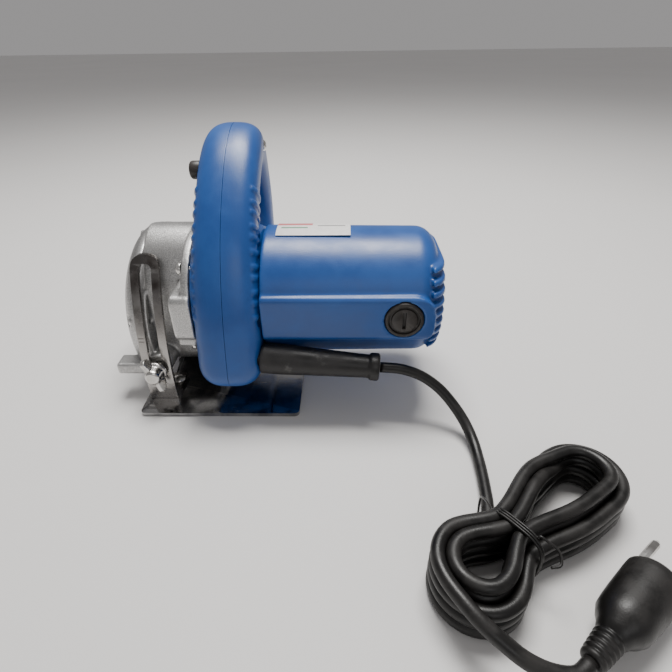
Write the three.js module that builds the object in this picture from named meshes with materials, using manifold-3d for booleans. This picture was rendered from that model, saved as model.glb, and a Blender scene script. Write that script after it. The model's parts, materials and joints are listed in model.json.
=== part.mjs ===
// Trim saw: a small hand-held circular saw for tile and stone, 110 mm class, standing on its base plate.
// Units are millimetres. +Z is up, +Y is the cutting direction and +X is the motor's side.
// The origin is the centre of the base plate's bottom face.
import * as THREE from "three";
import { mergeVertices } from "three/addons/utils/BufferGeometryUtils.js";
import Module from "manifold-3d";

const wasm = await Module();
wasm.setup();

// Fits.
const gap = 0.3; // between pieces that touch
const slip = 0.3; // radial clearance of a pin or shaft in its bore
const circleDetail = 0.22; // half the share of the named sides that a round piece gets

// Base plate and front pivot.
const baseWidth = 104;
const baseLength = 200;
const baseThick = 2.5;
const baseLipHeight = 11;
const pivotY = 84;
const pivotZ = 16;
const pivotPinRadius = 5;
const pivotEyeRadius = 10;
const armWidth = 16;
const armX = -22;
const earThick = 4;
const earGap = 0.8;

// Depth guide: a strap bent to an arc about the front pivot.
const guideRadius = 168.4;
const guideThick = 2.5;
const guideWidth = 18;
const guideX = -40;
const guideTopZ = 98;
const slotWidth = 8;
const slotBottomZ = 13;
const slotTopZ = 93;

// Wing bolt in the guide's slot.
const wingBoltZ = 27;
const wingShankRadius = 3;
const wingHubRadius = 5.5;
const wingSpan = 25;
const wingTilt = -0.38;

// Motor axis and housing.
const motorY = -50;
const motorZ = 67.6;
const motorRadius = 41;
const motorTaper = 1;
const motorWall = 4;
const neckStep = 8;
const motorNeckRadius = motorRadius - neckStep;
const motorStartX = 32;
const motorEndX = 138.2;
const motorEndRound = 11;
const ribProud = 2.8;
const ribCount = 9;
const ribPitch = 6.2;
const ribThick = 3;
const bossProud = 1;
const bossReach = motorRadius + bossProud;
const bossHeight = 29.4;
const bossCorner = 5;
const bossEndX = 128.5;
const brushX = 116.3;
const brushCapRadius = 11.5;

// Handle: a bar swept along a bent line, split into two halves.
const handleLeftX = -8.4;
const handleRightX = 31.7;
const handleDepth = 27;
const handleHubProud = 0.5;
const handleHubRadius = motorRadius + handleHubProud;
const handleCavityHalf = 9.2;
const handleWall = 5;

// Gear housing, blade case and arbor.
const housingRightX = handleLeftX - gap;
const housingLeftX = -44;
const caseBackThick = 4;
const spindleY = -20;
const spindleZ = 42;
const caseRadius = 57.5;
const caseWall = 2.2;
const caseLeftX = -65.4;
const caseBottomZ = 16;
const spindleRadius = 6;
const flangeRadius = 18;
const pinionTeeth = 12;
const wheelTeeth = 33;
const gearDistance = Math.hypot(spindleY - motorY, spindleZ - motorZ);
const gearModule = (2 * gearDistance) / (pinionTeeth + wheelTeeth);
const wheelRadius = (gearModule * wheelTeeth) / 2;
const chamberRadius = wheelRadius + gearModule + 1.2;

// Armature and stator.
const shaftRadius = 5;
const fieldDepth = 16; // from the housing's wall in to the armature core
const coreRadius = motorRadius - motorWall - fieldDepth;
const coilOffset = coreRadius + 5;
const coreStartX = 56;
const coreEndX = 97;
const commutatorRadius = 13;
const fanClear = 5;
const fanRadius = motorNeckRadius - fanClear;

// Supply cord.
const cordDiameter = 6.5;
const hankLength = 124;
const hankWidth = 44;
const hankHeight = 27;
const hankCentre = [171, -187];
const hankTurn = 0.66;

const blue = () => new THREE.MeshStandardMaterial({ color: 0x1e58b0, roughness: 0.42, metalness: 0 });
const castAlloy = () => new THREE.MeshStandardMaterial({ color: 0xb9bbbd, roughness: 0.55, metalness: 0.9 });
const plated = () => new THREE.MeshStandardMaterial({ color: 0xc9c6c0, roughness: 0.28, metalness: 1 });
const baseSteel = () => new THREE.MeshStandardMaterial({ color: 0x6d6f73, roughness: 0.15, metalness: 1 });
const darkSteel = () => new THREE.MeshStandardMaterial({ color: 0x55565a, roughness: 0.4, metalness: 1 });
const rubber = () => new THREE.MeshStandardMaterial({ color: 0x17181a, roughness: 0.6, metalness: 0 });
const blackPlastic = () => new THREE.MeshStandardMaterial({ color: 0x1b1714, roughness: 0.45, metalness: 0 });
const brass = () => new THREE.MeshStandardMaterial({ color: 0xc79a4b, roughness: 0.35, metalness: 1 });
const copper = () => new THREE.MeshStandardMaterial({ color: 0xb8673a, roughness: 0.4, metalness: 0.9 });
const carbon = () => new THREE.MeshStandardMaterial({ color: 0x2b2b2d, roughness: 0.7, metalness: 0.1 });
const paper = () => new THREE.MeshStandardMaterial({ color: 0xe9e6e2, roughness: 0.5, metalness: 0 });

const trimSaw = new THREE.Group();

function addNode(name, geometry, material) {
  const mesh = new THREE.Mesh(geometry, material);
  mesh.name = name;
  trimSaw.add(mesh);
  return mesh;
}

// A closed geometry as a solid for cutting and joining. A piece that was cut or joined keeps its solid.
function solidOf(geometry) {
  if (geometry.userData.solid) return geometry.userData.solid;
  const bare = geometry.index ? geometry.toNonIndexed() : geometry.clone();
  bare.deleteAttribute("normal");
  bare.deleteAttribute("uv");
  const merged = mergeVertices(bare, 1e-4);
  return new wasm.Manifold(
    new wasm.Mesh({
      numProp: 3,
      vertProperties: merged.attributes.position.array,
      triVerts: new Uint32Array(merged.index.array),
    }),
  );
}

function geometryOf(solid) {
  const mesh = solid.getMesh();
  const geometry = new THREE.BufferGeometry();
  geometry.setAttribute("position", new THREE.BufferAttribute(mesh.vertProperties.slice(), 3));
  geometry.setIndex(new THREE.BufferAttribute(mesh.triVerts.slice(), 1));
  geometry.userData.solid = solid;
  return geometry;
}

function join(...geometries) {
  return geometryOf(geometries.map(solidOf).reduce((all, next) => all.add(next)));
}

function cut(geometry, ...tools) {
  return geometryOf(tools.map(solidOf).reduce((left, tool) => left.subtract(tool), solidOf(geometry)));
}

function common(geometry, other) {
  return geometryOf(solidOf(geometry).intersect(solidOf(other)));
}

function box(x0, x1, y0, y1, z0, z1) {
  return new THREE.BoxGeometry(x1 - x0, y1 - y0, z1 - z0).translate((x0 + x1) / 2, (y0 + y1) / 2, (z0 + z1) / 2);
}

// A profile of [x, radius] points turned about a line along X through (y, z).
function turnedX(profile, y, z, fineSides = 32) {
  const sides = Math.max(8, 2 * Math.round(fineSides * circleDetail));
  let area = 0;
  profile.forEach(([x, r], i) => {
    const [nextX, nextR] = profile[(i + 1) % profile.length];
    area += r * nextX - nextR * x;
  });
  const points = (area < 0 ? [...profile].reverse() : profile).map(([x, r]) => new THREE.Vector2(r, x));
  if (profile.every(([, r]) => r > 0)) points.push(points[0].clone());
  const geometry = new THREE.LatheGeometry(points, sides);
  const basis = new THREE.Matrix4().makeBasis(
    new THREE.Vector3(0, 1, 0),
    new THREE.Vector3(1, 0, 0),
    new THREE.Vector3(0, 0, -1),
  );
  return geometry.applyMatrix4(basis).translate(0, y, z);
}

function rodX(radius, x0, x1, y, z, sides = 28) {
  return turnedX([[x0, 0], [x0, radius], [x1, radius], [x1, 0]], y, z, sides);
}

function tubeX(outer, inner, x0, x1, y, z, sides = 28) {
  return turnedX([[x0, inner], [x0, outer], [x1, outer], [x1, inner]], y, z, sides);
}

// A rod whose axis lies along Y.
function rodY(radius, y0, y1, x, z, sides = 24) {
  return rodX(radius, y0, y1, 0, 0, sides).rotateZ(Math.PI / 2).translate(x, 0, z);
}

// A rod whose axis lies along Z.
function rodZ(radius, z0, z1, x, y, sides = 20) {
  return new THREE.CylinderGeometry(radius, radius, z1 - z0, sides).rotateX(Math.PI / 2).translate(x, y, (z0 + z1) / 2);
}

// A closed outline of [a, b, corner radius] points with rounded corners.
function roundedShape(points) {
  const shape = new THREE.Shape();
  points.forEach(([a, b, radius = 0], i) => {
    const corner = new THREE.Vector2(a, b);
    const [pa, pb] = points[(i + points.length - 1) % points.length];
    const [na, nb] = points[(i + 1) % points.length];
    const toLast = new THREE.Vector2(pa, pb).sub(corner);
    const toNext = new THREE.Vector2(na, nb).sub(corner);
    const reach = Math.min(radius, toLast.length() * 0.49, toNext.length() * 0.49);
    const start = corner.clone().addScaledVector(toLast.normalize(), reach);
    const end = corner.clone().addScaledVector(toNext.normalize(), reach);
    if (i === 0) shape.moveTo(start.x, start.y);
    else shape.lineTo(start.x, start.y);
    if (reach > 0) shape.quadraticCurveTo(corner.x, corner.y, end.x, end.y);
  });
  shape.closePath();
  return shape;
}

// An outline in Y and Z, given a thickness along X.
function plateX(shape, x0, x1, bevel = 0, curveSegments = 3) {
  const geometry = new THREE.ExtrudeGeometry(shape, {
    depth: x1 - x0 - 2 * bevel,
    curveSegments,
    bevelEnabled: bevel > 0,
    bevelThickness: bevel,
    bevelSize: bevel,
    bevelOffset: -bevel,
    bevelSegments: 2,
  });
  const basis = new THREE.Matrix4().makeBasis(
    new THREE.Vector3(0, 1, 0),
    new THREE.Vector3(0, 0, 1),
    new THREE.Vector3(1, 0, 0),
  );
  return geometry.applyMatrix4(basis).translate(x0 + bevel, 0, 0);
}

// An outline in X and Z, given a thickness along Y.
function plateY(shape, y0, y1, bevel = 0) {
  const geometry = new THREE.ExtrudeGeometry(shape, {
    depth: y1 - y0 - 2 * bevel,
    curveSegments: 4,
    bevelEnabled: bevel > 0,
    bevelThickness: bevel,
    bevelSize: bevel,
    bevelOffset: -bevel,
    bevelSegments: 2,
  });
  return geometry.rotateX(Math.PI / 2).translate(0, y1 - bevel, 0);
}

// An outline in X and Y, given a thickness along Z.
function plateZ(shape, z0, z1, bevel = 0) {
  const geometry = new THREE.ExtrudeGeometry(shape, {
    depth: z1 - z0 - 2 * bevel,
    curveSegments: 4,
    bevelEnabled: bevel > 0,
    bevelThickness: bevel,
    bevelSize: bevel,
    bevelOffset: -bevel,
    bevelSegments: 2,
  });
  return geometry.translate(0, 0, z0 + bevel);
}

function rectangle(a0, a1, b0, b1, radius) {
  return roundedShape([[a0, b0, radius], [a1, b0, radius], [a1, b1, radius], [a0, b1, radius]]);
}

// A screw along X whose head faces the given side, with a slot across its head.
function screwX(headX, tipX, y, z, headRadius, shankRadius, headHeight) {
  const out = Math.sign(headX - tipX);
  const headEnd = headX + out * headHeight;
  const profile = [[headEnd, 0], [headEnd, headRadius * 0.8], [headX + out * headHeight * 0.5, headRadius]];
  profile.push([headX, headRadius], [headX, shankRadius], [tipX, shankRadius], [tipX, 0]);
  const slot = headRadius * 0.12;
  const deep = headX + out * headHeight * 0.45;
  const across = headRadius * 0.62;
  const x0 = Math.min(deep, headEnd + out);
  const x1 = Math.max(deep, headEnd + out);
  const slotUp = box(x0, x1, y - slot, y + slot, z - across, z + across);
  const slotAcross = box(x0, x1, y - across, y + across, z - slot, z + slot);
  return cut(turnedX(profile, y, z, 16), slotUp, slotAcross);
}

// ---- Base plate, pivot bracket and depth guide -------------------------------------------------

const halfWidth = baseWidth / 2;
const halfLength = baseLength / 2;
const basePlateFlat = plateZ(rectangle(-halfWidth, halfWidth, -halfLength, halfLength, 4), 0, baseThick, 0.5);
const baseLip = plateX(
  roundedShape([
    [halfLength - 6, 0.4],
    [halfLength, 0.4, 3],
    [halfLength, baseLipHeight, 0.8],
    [halfLength - baseThick, baseLipHeight, 0.8],
    [halfLength - baseThick, baseThick - 0.2],
    [halfLength - 6, baseThick - 0.2],
  ]),
  -halfWidth + 5,
  halfWidth - 5,
);

const bracketLeftX = armX - armWidth / 2 - earGap - earThick;
const bracketRightX = armX + armWidth / 2 + earGap + earThick;
const bracketFootZ = baseThick + gap;
const bracketFootThick = 2;
const bracketRearY = pivotY - 22;
const bracketFrontY = pivotY + 11;
const guideFootFrontY = pivotY - guideRadius + 24;
const guideFootZ = baseThick + gap;
const rivetRadius = 2.6;
const guideRivets = [[guideX - 5, guideFootFrontY - 8], [guideX + 5, guideFootFrontY - 8]];
const bracketRivets = [[armX, bracketRearY + 5]];

function rivetHole([x, y]) {
  return rodZ(rivetRadius + slip, -1, 12, x, y, 16);
}
addNode(
  "base_plate",
  cut(join(basePlateFlat, baseLip), ...guideRivets.map(rivetHole), ...bracketRivets.map(rivetHole)),
  baseSteel(),
);

const earShape = roundedShape([
  [bracketRearY, bracketFootZ],
  [bracketFrontY, bracketFootZ],
  [bracketFrontY, pivotZ + 4, 8],
  [pivotY + 7, pivotZ + 12, 8],
  [pivotY - 7, pivotZ + 12, 8],
  [bracketRearY, bracketFootZ + 6, 6],
]);
const bracketFoot = box(
  bracketLeftX + 0.5, bracketRightX - 0.5, bracketRearY, bracketFrontY, bracketFootZ, bracketFootZ + bracketFootThick,
);
const bracketBore = rodX(pivotPinRadius + slip, bracketLeftX - 5, bracketRightX + 5, pivotY, pivotZ);
addNode(
  "pivot_bracket",
  cut(
    join(
      bracketFoot,
      plateX(earShape, bracketLeftX, bracketLeftX + earThick),
      plateX(earShape, bracketRightX - earThick, bracketRightX),
    ),
    bracketBore,
    ...bracketRivets.map(rivetHole),
  ),
  plated(),
);
addNode(
  "pivot_pin",
  turnedX(
    [
      [bracketLeftX - gap - 3.5, 0],
      [bracketLeftX - gap - 3.5, pivotPinRadius + 2],
      [bracketLeftX - gap - 2.5, pivotPinRadius + 3],
      [bracketLeftX - gap, pivotPinRadius + 3],
      [bracketLeftX - gap, pivotPinRadius],
      [bracketRightX + 9, pivotPinRadius],
      [bracketRightX + 9, 0],
    ],
    pivotY,
    pivotZ,
  ),
  plated(),
);
const hexRim = [0, 1, 2, 3, 4, 5].map((i) => [
  pivotY + 8.6 * Math.cos((i * Math.PI) / 3),
  pivotZ + 8.6 * Math.sin((i * Math.PI) / 3),
  0.8,
]);
addNode(
  "pivot_nut",
  cut(
    plateX(roundedShape(hexRim), bracketRightX + gap, bracketRightX + gap + 6, 0.6),
    rodX(pivotPinRadius + slip, bracketRightX - 2, bracketRightX + 12, pivotY, pivotZ),
  ),
  plated(),
);

// The strap lies between two radii about the pivot and its outline is a slotted bar with a round top.
const strapRadius = guideRadius - guideThick / 2;
const strapOuter = guideRadius + guideThick / 2;
const guideSides = 16;
const angleAt = (z, radius) => Math.PI - Math.asin((z - pivotZ) / radius);
const strapShape = new THREE.Shape();
const lowAngle = angleAt(guideFootZ, guideRadius);
const highAngle = angleAt(guideTopZ + 3, guideRadius);
for (let i = 0; i <= guideSides; i++) {
  const angle = lowAngle + ((highAngle - lowAngle) * i) / guideSides;
  const y = pivotY + strapOuter * Math.cos(angle);
  const z = pivotZ + strapOuter * Math.sin(angle);
  if (i === 0) strapShape.moveTo(y, z);
  else strapShape.lineTo(y, z);
}
for (let i = guideSides; i >= 0; i--) {
  const angle = lowAngle + ((highAngle - lowAngle) * i) / guideSides;
  strapShape.lineTo(pivotY + strapRadius * Math.cos(angle), pivotZ + strapRadius * Math.sin(angle));
}
const strapLeft = guideX - guideWidth / 2;
const strapRight = guideX + guideWidth / 2;
const strap = plateX(strapShape, strapLeft - 1, strapRight + 1);
const strapOutline = plateY(
  roundedShape([
    [strapLeft, guideFootZ - 1],
    [strapRight, guideFootZ - 1],
    [strapRight, guideTopZ, guideWidth * 0.75],
    [strapLeft, guideTopZ, guideWidth * 0.75],
  ]),
  -120,
  -20,
);
const slotCutter = plateY(
  rectangle(guideX - slotWidth / 2, guideX + slotWidth / 2, slotBottomZ, slotTopZ, slotWidth * 0.49),
  -120,
  -20,
);
const guideFoot = plateZ(
  rectangle(strapLeft, strapRight, pivotY - guideRadius, guideFootFrontY, 2),
  guideFootZ,
  guideFootZ + guideThick,
);
addNode(
  "depth_guide",
  cut(join(common(strap, strapOutline), guideFoot), slotCutter, ...guideRivets.map(rivetHole)),
  plated(),
);

function rivet([x, y], topZ) {
  const profile = [[0.2, 0], [0.2, rivetRadius], [topZ + gap, rivetRadius], [topZ + gap, rivetRadius + 1.8]];
  profile.push([topZ + gap + 1, rivetRadius + 1.3], [topZ + gap + 1.8, 0]);
  return turnedX(profile, 0, 0, 16).rotateY(-Math.PI / 2).translate(x, y, 0);
}
guideRivets.forEach((place, i) => {
  addNode(`guide_rivet_${i + 1}`, rivet(place, guideFootZ + guideThick), plated());
});
bracketRivets.forEach((place, i) => {
  addNode(`bracket_rivet_${i + 1}`, rivet(place, bracketFootZ + bracketFootThick), plated());
});

// ---- Wing bolt -------------------------------------------------------------------------------

const guideFaceY = pivotY - Math.sqrt(strapOuter ** 2 - (wingBoltZ - pivotZ) ** 2);
const wingHeadY = guideFaceY - gap;
const wingBossEndY = pivotY - Math.sqrt((strapRadius - 2.4) ** 2 - (wingBoltZ - pivotZ) ** 2);
const wingShankEndY = wingBossEndY + 17;
const wingHub = rodY(wingHubRadius, wingHeadY - 9, wingHeadY, guideX, wingBoltZ);
const wingCollar = rodY(wingHubRadius + 1.6, wingHeadY - 2, wingHeadY, guideX, wingBoltZ);
const wingShank = rodY(wingShankRadius, wingHeadY - 1, wingShankEndY, guideX, wingBoltZ);
const half = wingSpan / 2;
const wings = plateX(
  roundedShape([
    [-9, -half, 4],
    [-1.5, -half, 5],
    [0, -4],
    [0, 4],
    [-1.5, half, 5],
    [-9, half, 4],
    [-7.5, 0, 6],
  ]),
  -1.3,
  1.3,
  0.4,
);
wings.rotateY(wingTilt).translate(guideX, wingHeadY - 2, wingBoltZ);
addNode("wing_bolt", join(wingHub, wingCollar, wingShank, wings), plated());

// ---- Gear housing ----------------------------------------------------------------------------

const housingOutline = roundedShape([
  [-66, 22, 8],
  [-68, 50, 10],
  [-67, 79, 6],
  [-56, 99, 12],
  [-40, 109, 12],
  [-18, 102.5, 14],
  [8, 89, 14],
  [26, 66, 14],
  [32, 40, 12],
  [26, 18, 8],
  [10, 8, 8],
  [-34, 7.5, 8],
  [-52, 15, 8],
]);
const housingBody = plateX(housingOutline, housingLeftX, housingRightX - 2, 1.5);
const housingFlange = rodX(motorRadius, housingRightX - 5, housingRightX, motorY, motorZ, 48);
const caseBackX = housingLeftX - caseBackThick;
const caseBackDisc = rodX(caseRadius, caseBackX, housingLeftX + 1, spindleY, spindleZ, 56);
const caseFloor = box(-90, -30, -120, 80, -60, caseBottomZ);
const armOutline = roundedShape([
  [16, 18, 4],
  [pivotY - 8, pivotZ - pivotEyeRadius + 0.4, 8],
  [pivotY + 4, pivotZ - pivotEyeRadius + 0.4, 4],
  [pivotY + 9.5, pivotZ, 7],
  [pivotY + 4, pivotZ + pivotEyeRadius, 6],
  [50, 40, 14],
  [20, 66, 6],
]);
const arm = plateX(armOutline, armX - armWidth / 2, armX + armWidth / 2, 1);
const wingBoss = rodY(8, wingBossEndY, -60, guideX, wingBoltZ);
// The brush boss of the motor carries on over the housing, up to the depth guide.
const bossShape = roundedShape([
  [motorY - bossReach, motorZ - bossHeight / 2, bossCorner],
  [motorY + bossReach, motorZ - bossHeight / 2, bossCorner],
  [motorY + bossReach, motorZ + bossHeight / 2, bossCorner],
  [motorY - bossReach, motorZ + bossHeight / 2, bossCorner],
]);
const housingBossLeftX = guideX + guideWidth / 2 + 1;
const ledge = plateX(bossShape, housingBossLeftX, housingRightX, 1);
const lowerLedge = plateX(
  roundedShape([[-88, 46, 3], [-88, 53.5], [-60, 53.5], [-60, 46]]), housingBossLeftX, housingRightX - 2, 1,
);
const wingHole = rodY(wingShankRadius + slip, wingBossEndY - 2, wingShankEndY + 1.5, guideX, wingBoltZ);
const armHole = rodX(pivotPinRadius + slip, armX - 20, armX + 20, pivotY, pivotZ);
const chamberEndX = -20;
const chamber = rodX(chamberRadius, housingLeftX - 1, chamberEndX, spindleY, spindleZ, 40);
const pinionRadius = (gearModule * pinionTeeth) / 2;
const pinionRoom = rodX(pinionRadius + gearModule + 1.2, housingLeftX + 3, chamberEndX, motorY, motorZ, 28);
const retainerRadius = chamberRadius + 3.6;
const retainerRecess = rodX(retainerRadius + slip, caseBackX - 1, housingLeftX, spindleY, spindleZ, 40);
const frontBearingRadius = 11;
const frontBearingHole = rodX(frontBearingRadius + slip, chamberEndX - 1, housingRightX + 1, motorY, motorZ);
const bushRadius = 9;
const bushHole = rodX(bushRadius + slip, chamberEndX - 1, chamberEndX + 8.3, spindleY, spindleZ);

const flangeScrewRing = (motorRadius + motorNeckRadius) / 2 + 0.3;
const flangeScrewRadius = 2;
const flangeScrewPlaces = [135, 225].map((degrees) => [
  motorY + flangeScrewRing * Math.cos((degrees * Math.PI) / 180),
  motorZ + flangeScrewRing * Math.sin((degrees * Math.PI) / 180),
]);
const flangeScrewTipX = motorStartX + 10;
function flangeScrewHole([y, z]) {
  return rodX(flangeScrewRadius + slip, housingRightX - 8, flangeScrewTipX + 1, y, z, 14);
}

const flangeScrewHead = 3.9;
function flangeScrewSeat([y, z]) {
  return rodX(flangeScrewHead + slip, housingRightX - 11, housingRightX - 5, y, z, 20);
}

const caseScrewRing = caseRadius - 5.2;
const caseScrewAngles = [28, 95, 166];
const caseScrewPlaces = caseScrewAngles.map((degrees) => [
  spindleY + caseScrewRing * Math.cos((degrees * Math.PI) / 180),
  spindleZ + caseScrewRing * Math.sin((degrees * Math.PI) / 180),
]);
const caseScrewRadius = 1.7;
function caseScrewHole([y, z]) {
  return rodX(caseScrewRadius + slip, caseLeftX - 5, housingLeftX + 6, y, z, 12);
}

const retainerScrewRing = chamberRadius - 1.6;
const retainerScrewPlaces = [0, 120, 240].map((degrees) => [
  spindleY + retainerScrewRing * Math.cos(((degrees + 20) * Math.PI) / 180),
  spindleZ + retainerScrewRing * Math.sin(((degrees + 20) * Math.PI) / 180),
]);

addNode(
  "gear_housing",
  cut(
    join(housingBody, housingFlange, cut(caseBackDisc, caseFloor), arm, wingBoss, ledge, lowerLedge),
    chamber,
    pinionRoom,
    retainerRecess,
    frontBearingHole,
    bushHole,
    wingHole,
    armHole,
    ...flangeScrewPlaces.map(flangeScrewHole),
    ...flangeScrewPlaces.map(flangeScrewSeat),
    ...caseScrewPlaces.map(caseScrewHole),
  ),
  castAlloy(),
);
flangeScrewPlaces.forEach(([y, z], i) => {
  addNode(
    `flange_screw_${i + 1}`,
    screwX(housingRightX - 5 - gap, flangeScrewTipX, y, z, flangeScrewHead, flangeScrewRadius, 3.4),
    plated(),
  );
});

// ---- Blade case: a domed cover over the upper part of the blade space ---------------------------

const caseRimX = caseBackX - gap;
const caseOuter = [
  [caseRimX, caseRadius],
  [caseRimX - 4, caseRadius - 0.4],
  [caseRimX - 8, caseRadius - 3],
  [caseRimX - 12, caseRadius - 9],
  [caseRimX - 15.2, caseRadius - 19],
  [caseLeftX, caseRadius - 29],
  [caseLeftX, 21],
];
const caseInner = [
  [caseLeftX + caseWall, 21],
  [caseLeftX + caseWall, caseRadius - 30],
  [caseRimX - 12.6, caseRadius - 20],
  [caseRimX - 9.8, caseRadius - 11],
  [caseRimX - 6.4, caseRadius - 5.6],
  [caseRimX - 3.4, caseRadius - 3.4],
  [caseRimX, caseRadius - caseWall],
];
const caseShell = turnedX([...caseOuter, ...caseInner], spindleY, spindleZ, 56);
const caseScrewBosses = caseScrewPlaces.map(([y, z]) => rodX(4, caseRimX - 8, caseRimX, y, z, 14));
const caseEar = plateX(
  roundedShape([[-79, 17, 4], [-66, 16.4, 3], [-66, 27, 3], [-78, 27, 4]]), caseLeftX - 5, caseRimX - 3, 1.6,
);
const bladeSpace = rodX(caseRadius - caseWall - 4.5, caseRimX - 9, caseRimX + 1, spindleY, spindleZ, 40);
addNode(
  "blade_case",
  cut(
    join(cut(caseShell, caseFloor), ...caseScrewBosses, cut(caseEar, bladeSpace)),
    ...caseScrewPlaces.map(caseScrewHole),
    ...caseScrewPlaces.map(([y, z]) => rodX(3.6, caseLeftX - 5, caseRimX - 6, y, z, 14)),
  ),
  castAlloy(),
);
caseScrewPlaces.forEach(([y, z], i) => {
  addNode(
    `case_screw_${i + 1}`,
    screwX(caseRimX - 6 - gap, housingLeftX + 5, y, z, 3.2, caseScrewRadius, 2.4),
    plated(),
  );
});

// ---- Bearing retainer, spindle, gears and flanges ------------------------------------------------

const spindleBearingRadius = 14;
const spindleBearingEndX = housingLeftX + 8;
addNode(
  "bearing_retainer",
  cut(
    join(
      rodX(retainerRadius, caseBackX, housingLeftX - gap, spindleY, spindleZ, 40),
      rodX(spindleBearingRadius + 3, housingLeftX - 1, spindleBearingEndX, spindleY, spindleZ, 32),
    ),
    rodX(spindleBearingRadius + slip, housingLeftX - 1.4, spindleBearingEndX + 1, spindleY, spindleZ, 28),
    rodX(spindleRadius + 4, caseBackX - 1, housingLeftX, spindleY, spindleZ),
    ...retainerScrewPlaces.map(([y, z]) => rodX(1.5 + slip, caseBackX - 1, housingLeftX + 1, y, z, 12)),
  ),
  castAlloy(),
);
retainerScrewPlaces.forEach(([y, z], i) => {
  addNode(
    `retainer_screw_${i + 1}`,
    screwX(caseBackX - gap, housingLeftX - gap, y, z, 2.8, 1.5, 1.6),
    plated(),
  );
});

function bearing(name, outer, inner, x0, x1, y, z) {
  const middle = (outer + inner) / 2;
  const groove = (outer - inner) * 0.2;
  const profile = [
    [x0, inner], [x0, middle - groove], [x0 + 0.7, middle - groove], [x0 + 0.7, middle + groove],
    [x0, middle + groove], [x0, outer], [x1, outer], [x1, inner],
  ];
  addNode(name, turnedX(profile, y, z, 28), plated());
}
bearing(
  "spindle_bearing", spindleBearingRadius, spindleRadius + slip, housingLeftX - 1.1, spindleBearingEndX - 1,
  spindleY, spindleZ,
);
bearing("spindle_bush", bushRadius, spindleRadius + slip, chamberEndX + gap, chamberEndX + 8, spindleY, spindleZ);
bearing(
  "armature_bearing_front", frontBearingRadius, shaftRadius + slip, chamberEndX + 1, chamberEndX + 9, motorY, motorZ,
);

// A spur gear with straight-sided teeth and generous backlash.
function gearShape(teeth, y, z, phase) {
  const pitchRadius = (gearModule * teeth) / 2;
  const shape = new THREE.Shape();
  const root = pitchRadius - gearModule * 1.15;
  const tip = pitchRadius + gearModule * 0.8;
  const step = (2 * Math.PI) / teeth;
  for (let i = 0; i < teeth; i++) {
    [[root, -0.27], [tip, -0.11], [tip, 0.11], [root, 0.27]].forEach(([radius, share], k) => {
      const angle = phase + step * (i + share);
      const a = y + radius * Math.cos(angle);
      const b = z + radius * Math.sin(angle);
      if (i === 0 && k === 0) shape.moveTo(a, b);
      else shape.lineTo(a, b);
    });
  }
  shape.closePath();
  return shape;
}
const lineOfCentres = Math.atan2(motorZ - spindleZ, motorY - spindleY);
addNode(
  "spindle_gear",
  cut(
    plateX(gearShape(wheelTeeth, spindleY, spindleZ, lineOfCentres), -34.5, -25),
    rodX(spindleRadius + slip, -40, -20, spindleY, spindleZ),
  ),
  darkSteel(),
);
addNode(
  "pinion",
  cut(
    plateX(gearShape(pinionTeeth, motorY, motorZ, lineOfCentres + Math.PI + Math.PI / pinionTeeth), -36, -24),
    rodX(shaftRadius + slip, -40, -20, motorY, motorZ),
  ),
  darkSteel(),
);
const innerFlangeX = -51;
const outerFlangeX = innerFlangeX - 4 - gap;
const boltHeadX = outerFlangeX - 3.6 - gap;
const boltHole = rodX(4 + slip, innerFlangeX - 4, innerFlangeX + 14, spindleY, spindleZ, 18);
addNode(
  "spindle",
  cut(
    turnedX(
      [
        [innerFlangeX - 2, 0], [innerFlangeX - 2, spindleRadius], [chamberEndX + 7.6, spindleRadius],
        [chamberEndX + 7.6, 0],
      ],
      spindleY, spindleZ,
    ),
    boltHole,
  ),
  darkSteel(),
);
addNode(
  "inner_flange",
  turnedX(
    [
      [innerFlangeX + 1.8, spindleRadius + slip], [innerFlangeX + 1.8, spindleRadius + 4],
      [innerFlangeX, flangeRadius - 3], [innerFlangeX - 1, flangeRadius], [innerFlangeX - 4, flangeRadius],
      [innerFlangeX - 4, flangeRadius - 4], [innerFlangeX - 3.4, flangeRadius - 4.4],
      [innerFlangeX - 3.4, spindleRadius + slip],
    ],
    spindleY, spindleZ, 36,
  ),
  plated(),
);
addNode(
  "outer_flange",
  turnedX(
    [
      [outerFlangeX, 4 + slip], [outerFlangeX, flangeRadius], [outerFlangeX - 1.6, flangeRadius],
      [outerFlangeX - 3.6, flangeRadius - 6], [outerFlangeX - 3.6, 4 + slip],
    ],
    spindleY, spindleZ, 36,
  ),
  plated(),
);
const boltHex = [0, 1, 2, 3, 4, 5].map((i) => [
  spindleY + 7.4 * Math.cos((i * Math.PI) / 3 + 0.2),
  spindleZ + 7.4 * Math.sin((i * Math.PI) / 3 + 0.2),
]);
addNode(
  "clamp_bolt",
  join(
    plateX(roundedShape(boltHex), boltHeadX - 5, boltHeadX, 0.5),
    rodX(4, boltHeadX - 2, innerFlangeX + 12, spindleY, spindleZ, 18),
  ),
  plated(),
);

// ---- Handle: two moulded halves clamped round the motor's neck -----------------------------------

const handleMiddleX = (handleLeftX + handleRightX) / 2;
const handleWidth = handleRightX - handleLeftX;
const handleLine = new THREE.CatmullRomCurve3(
  [
    [-95.5, 25], [-92, 42], [-84, 72], [-70, 101], [-51, 124], [-29, 142], [-7, 149], [11, 141],
    [20, 121], [20, 99], [12, 79], [-3, 64], [-24, 58],
  ].map(([y, z]) => new THREE.Vector3(handleMiddleX, y, z)),
);

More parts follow.
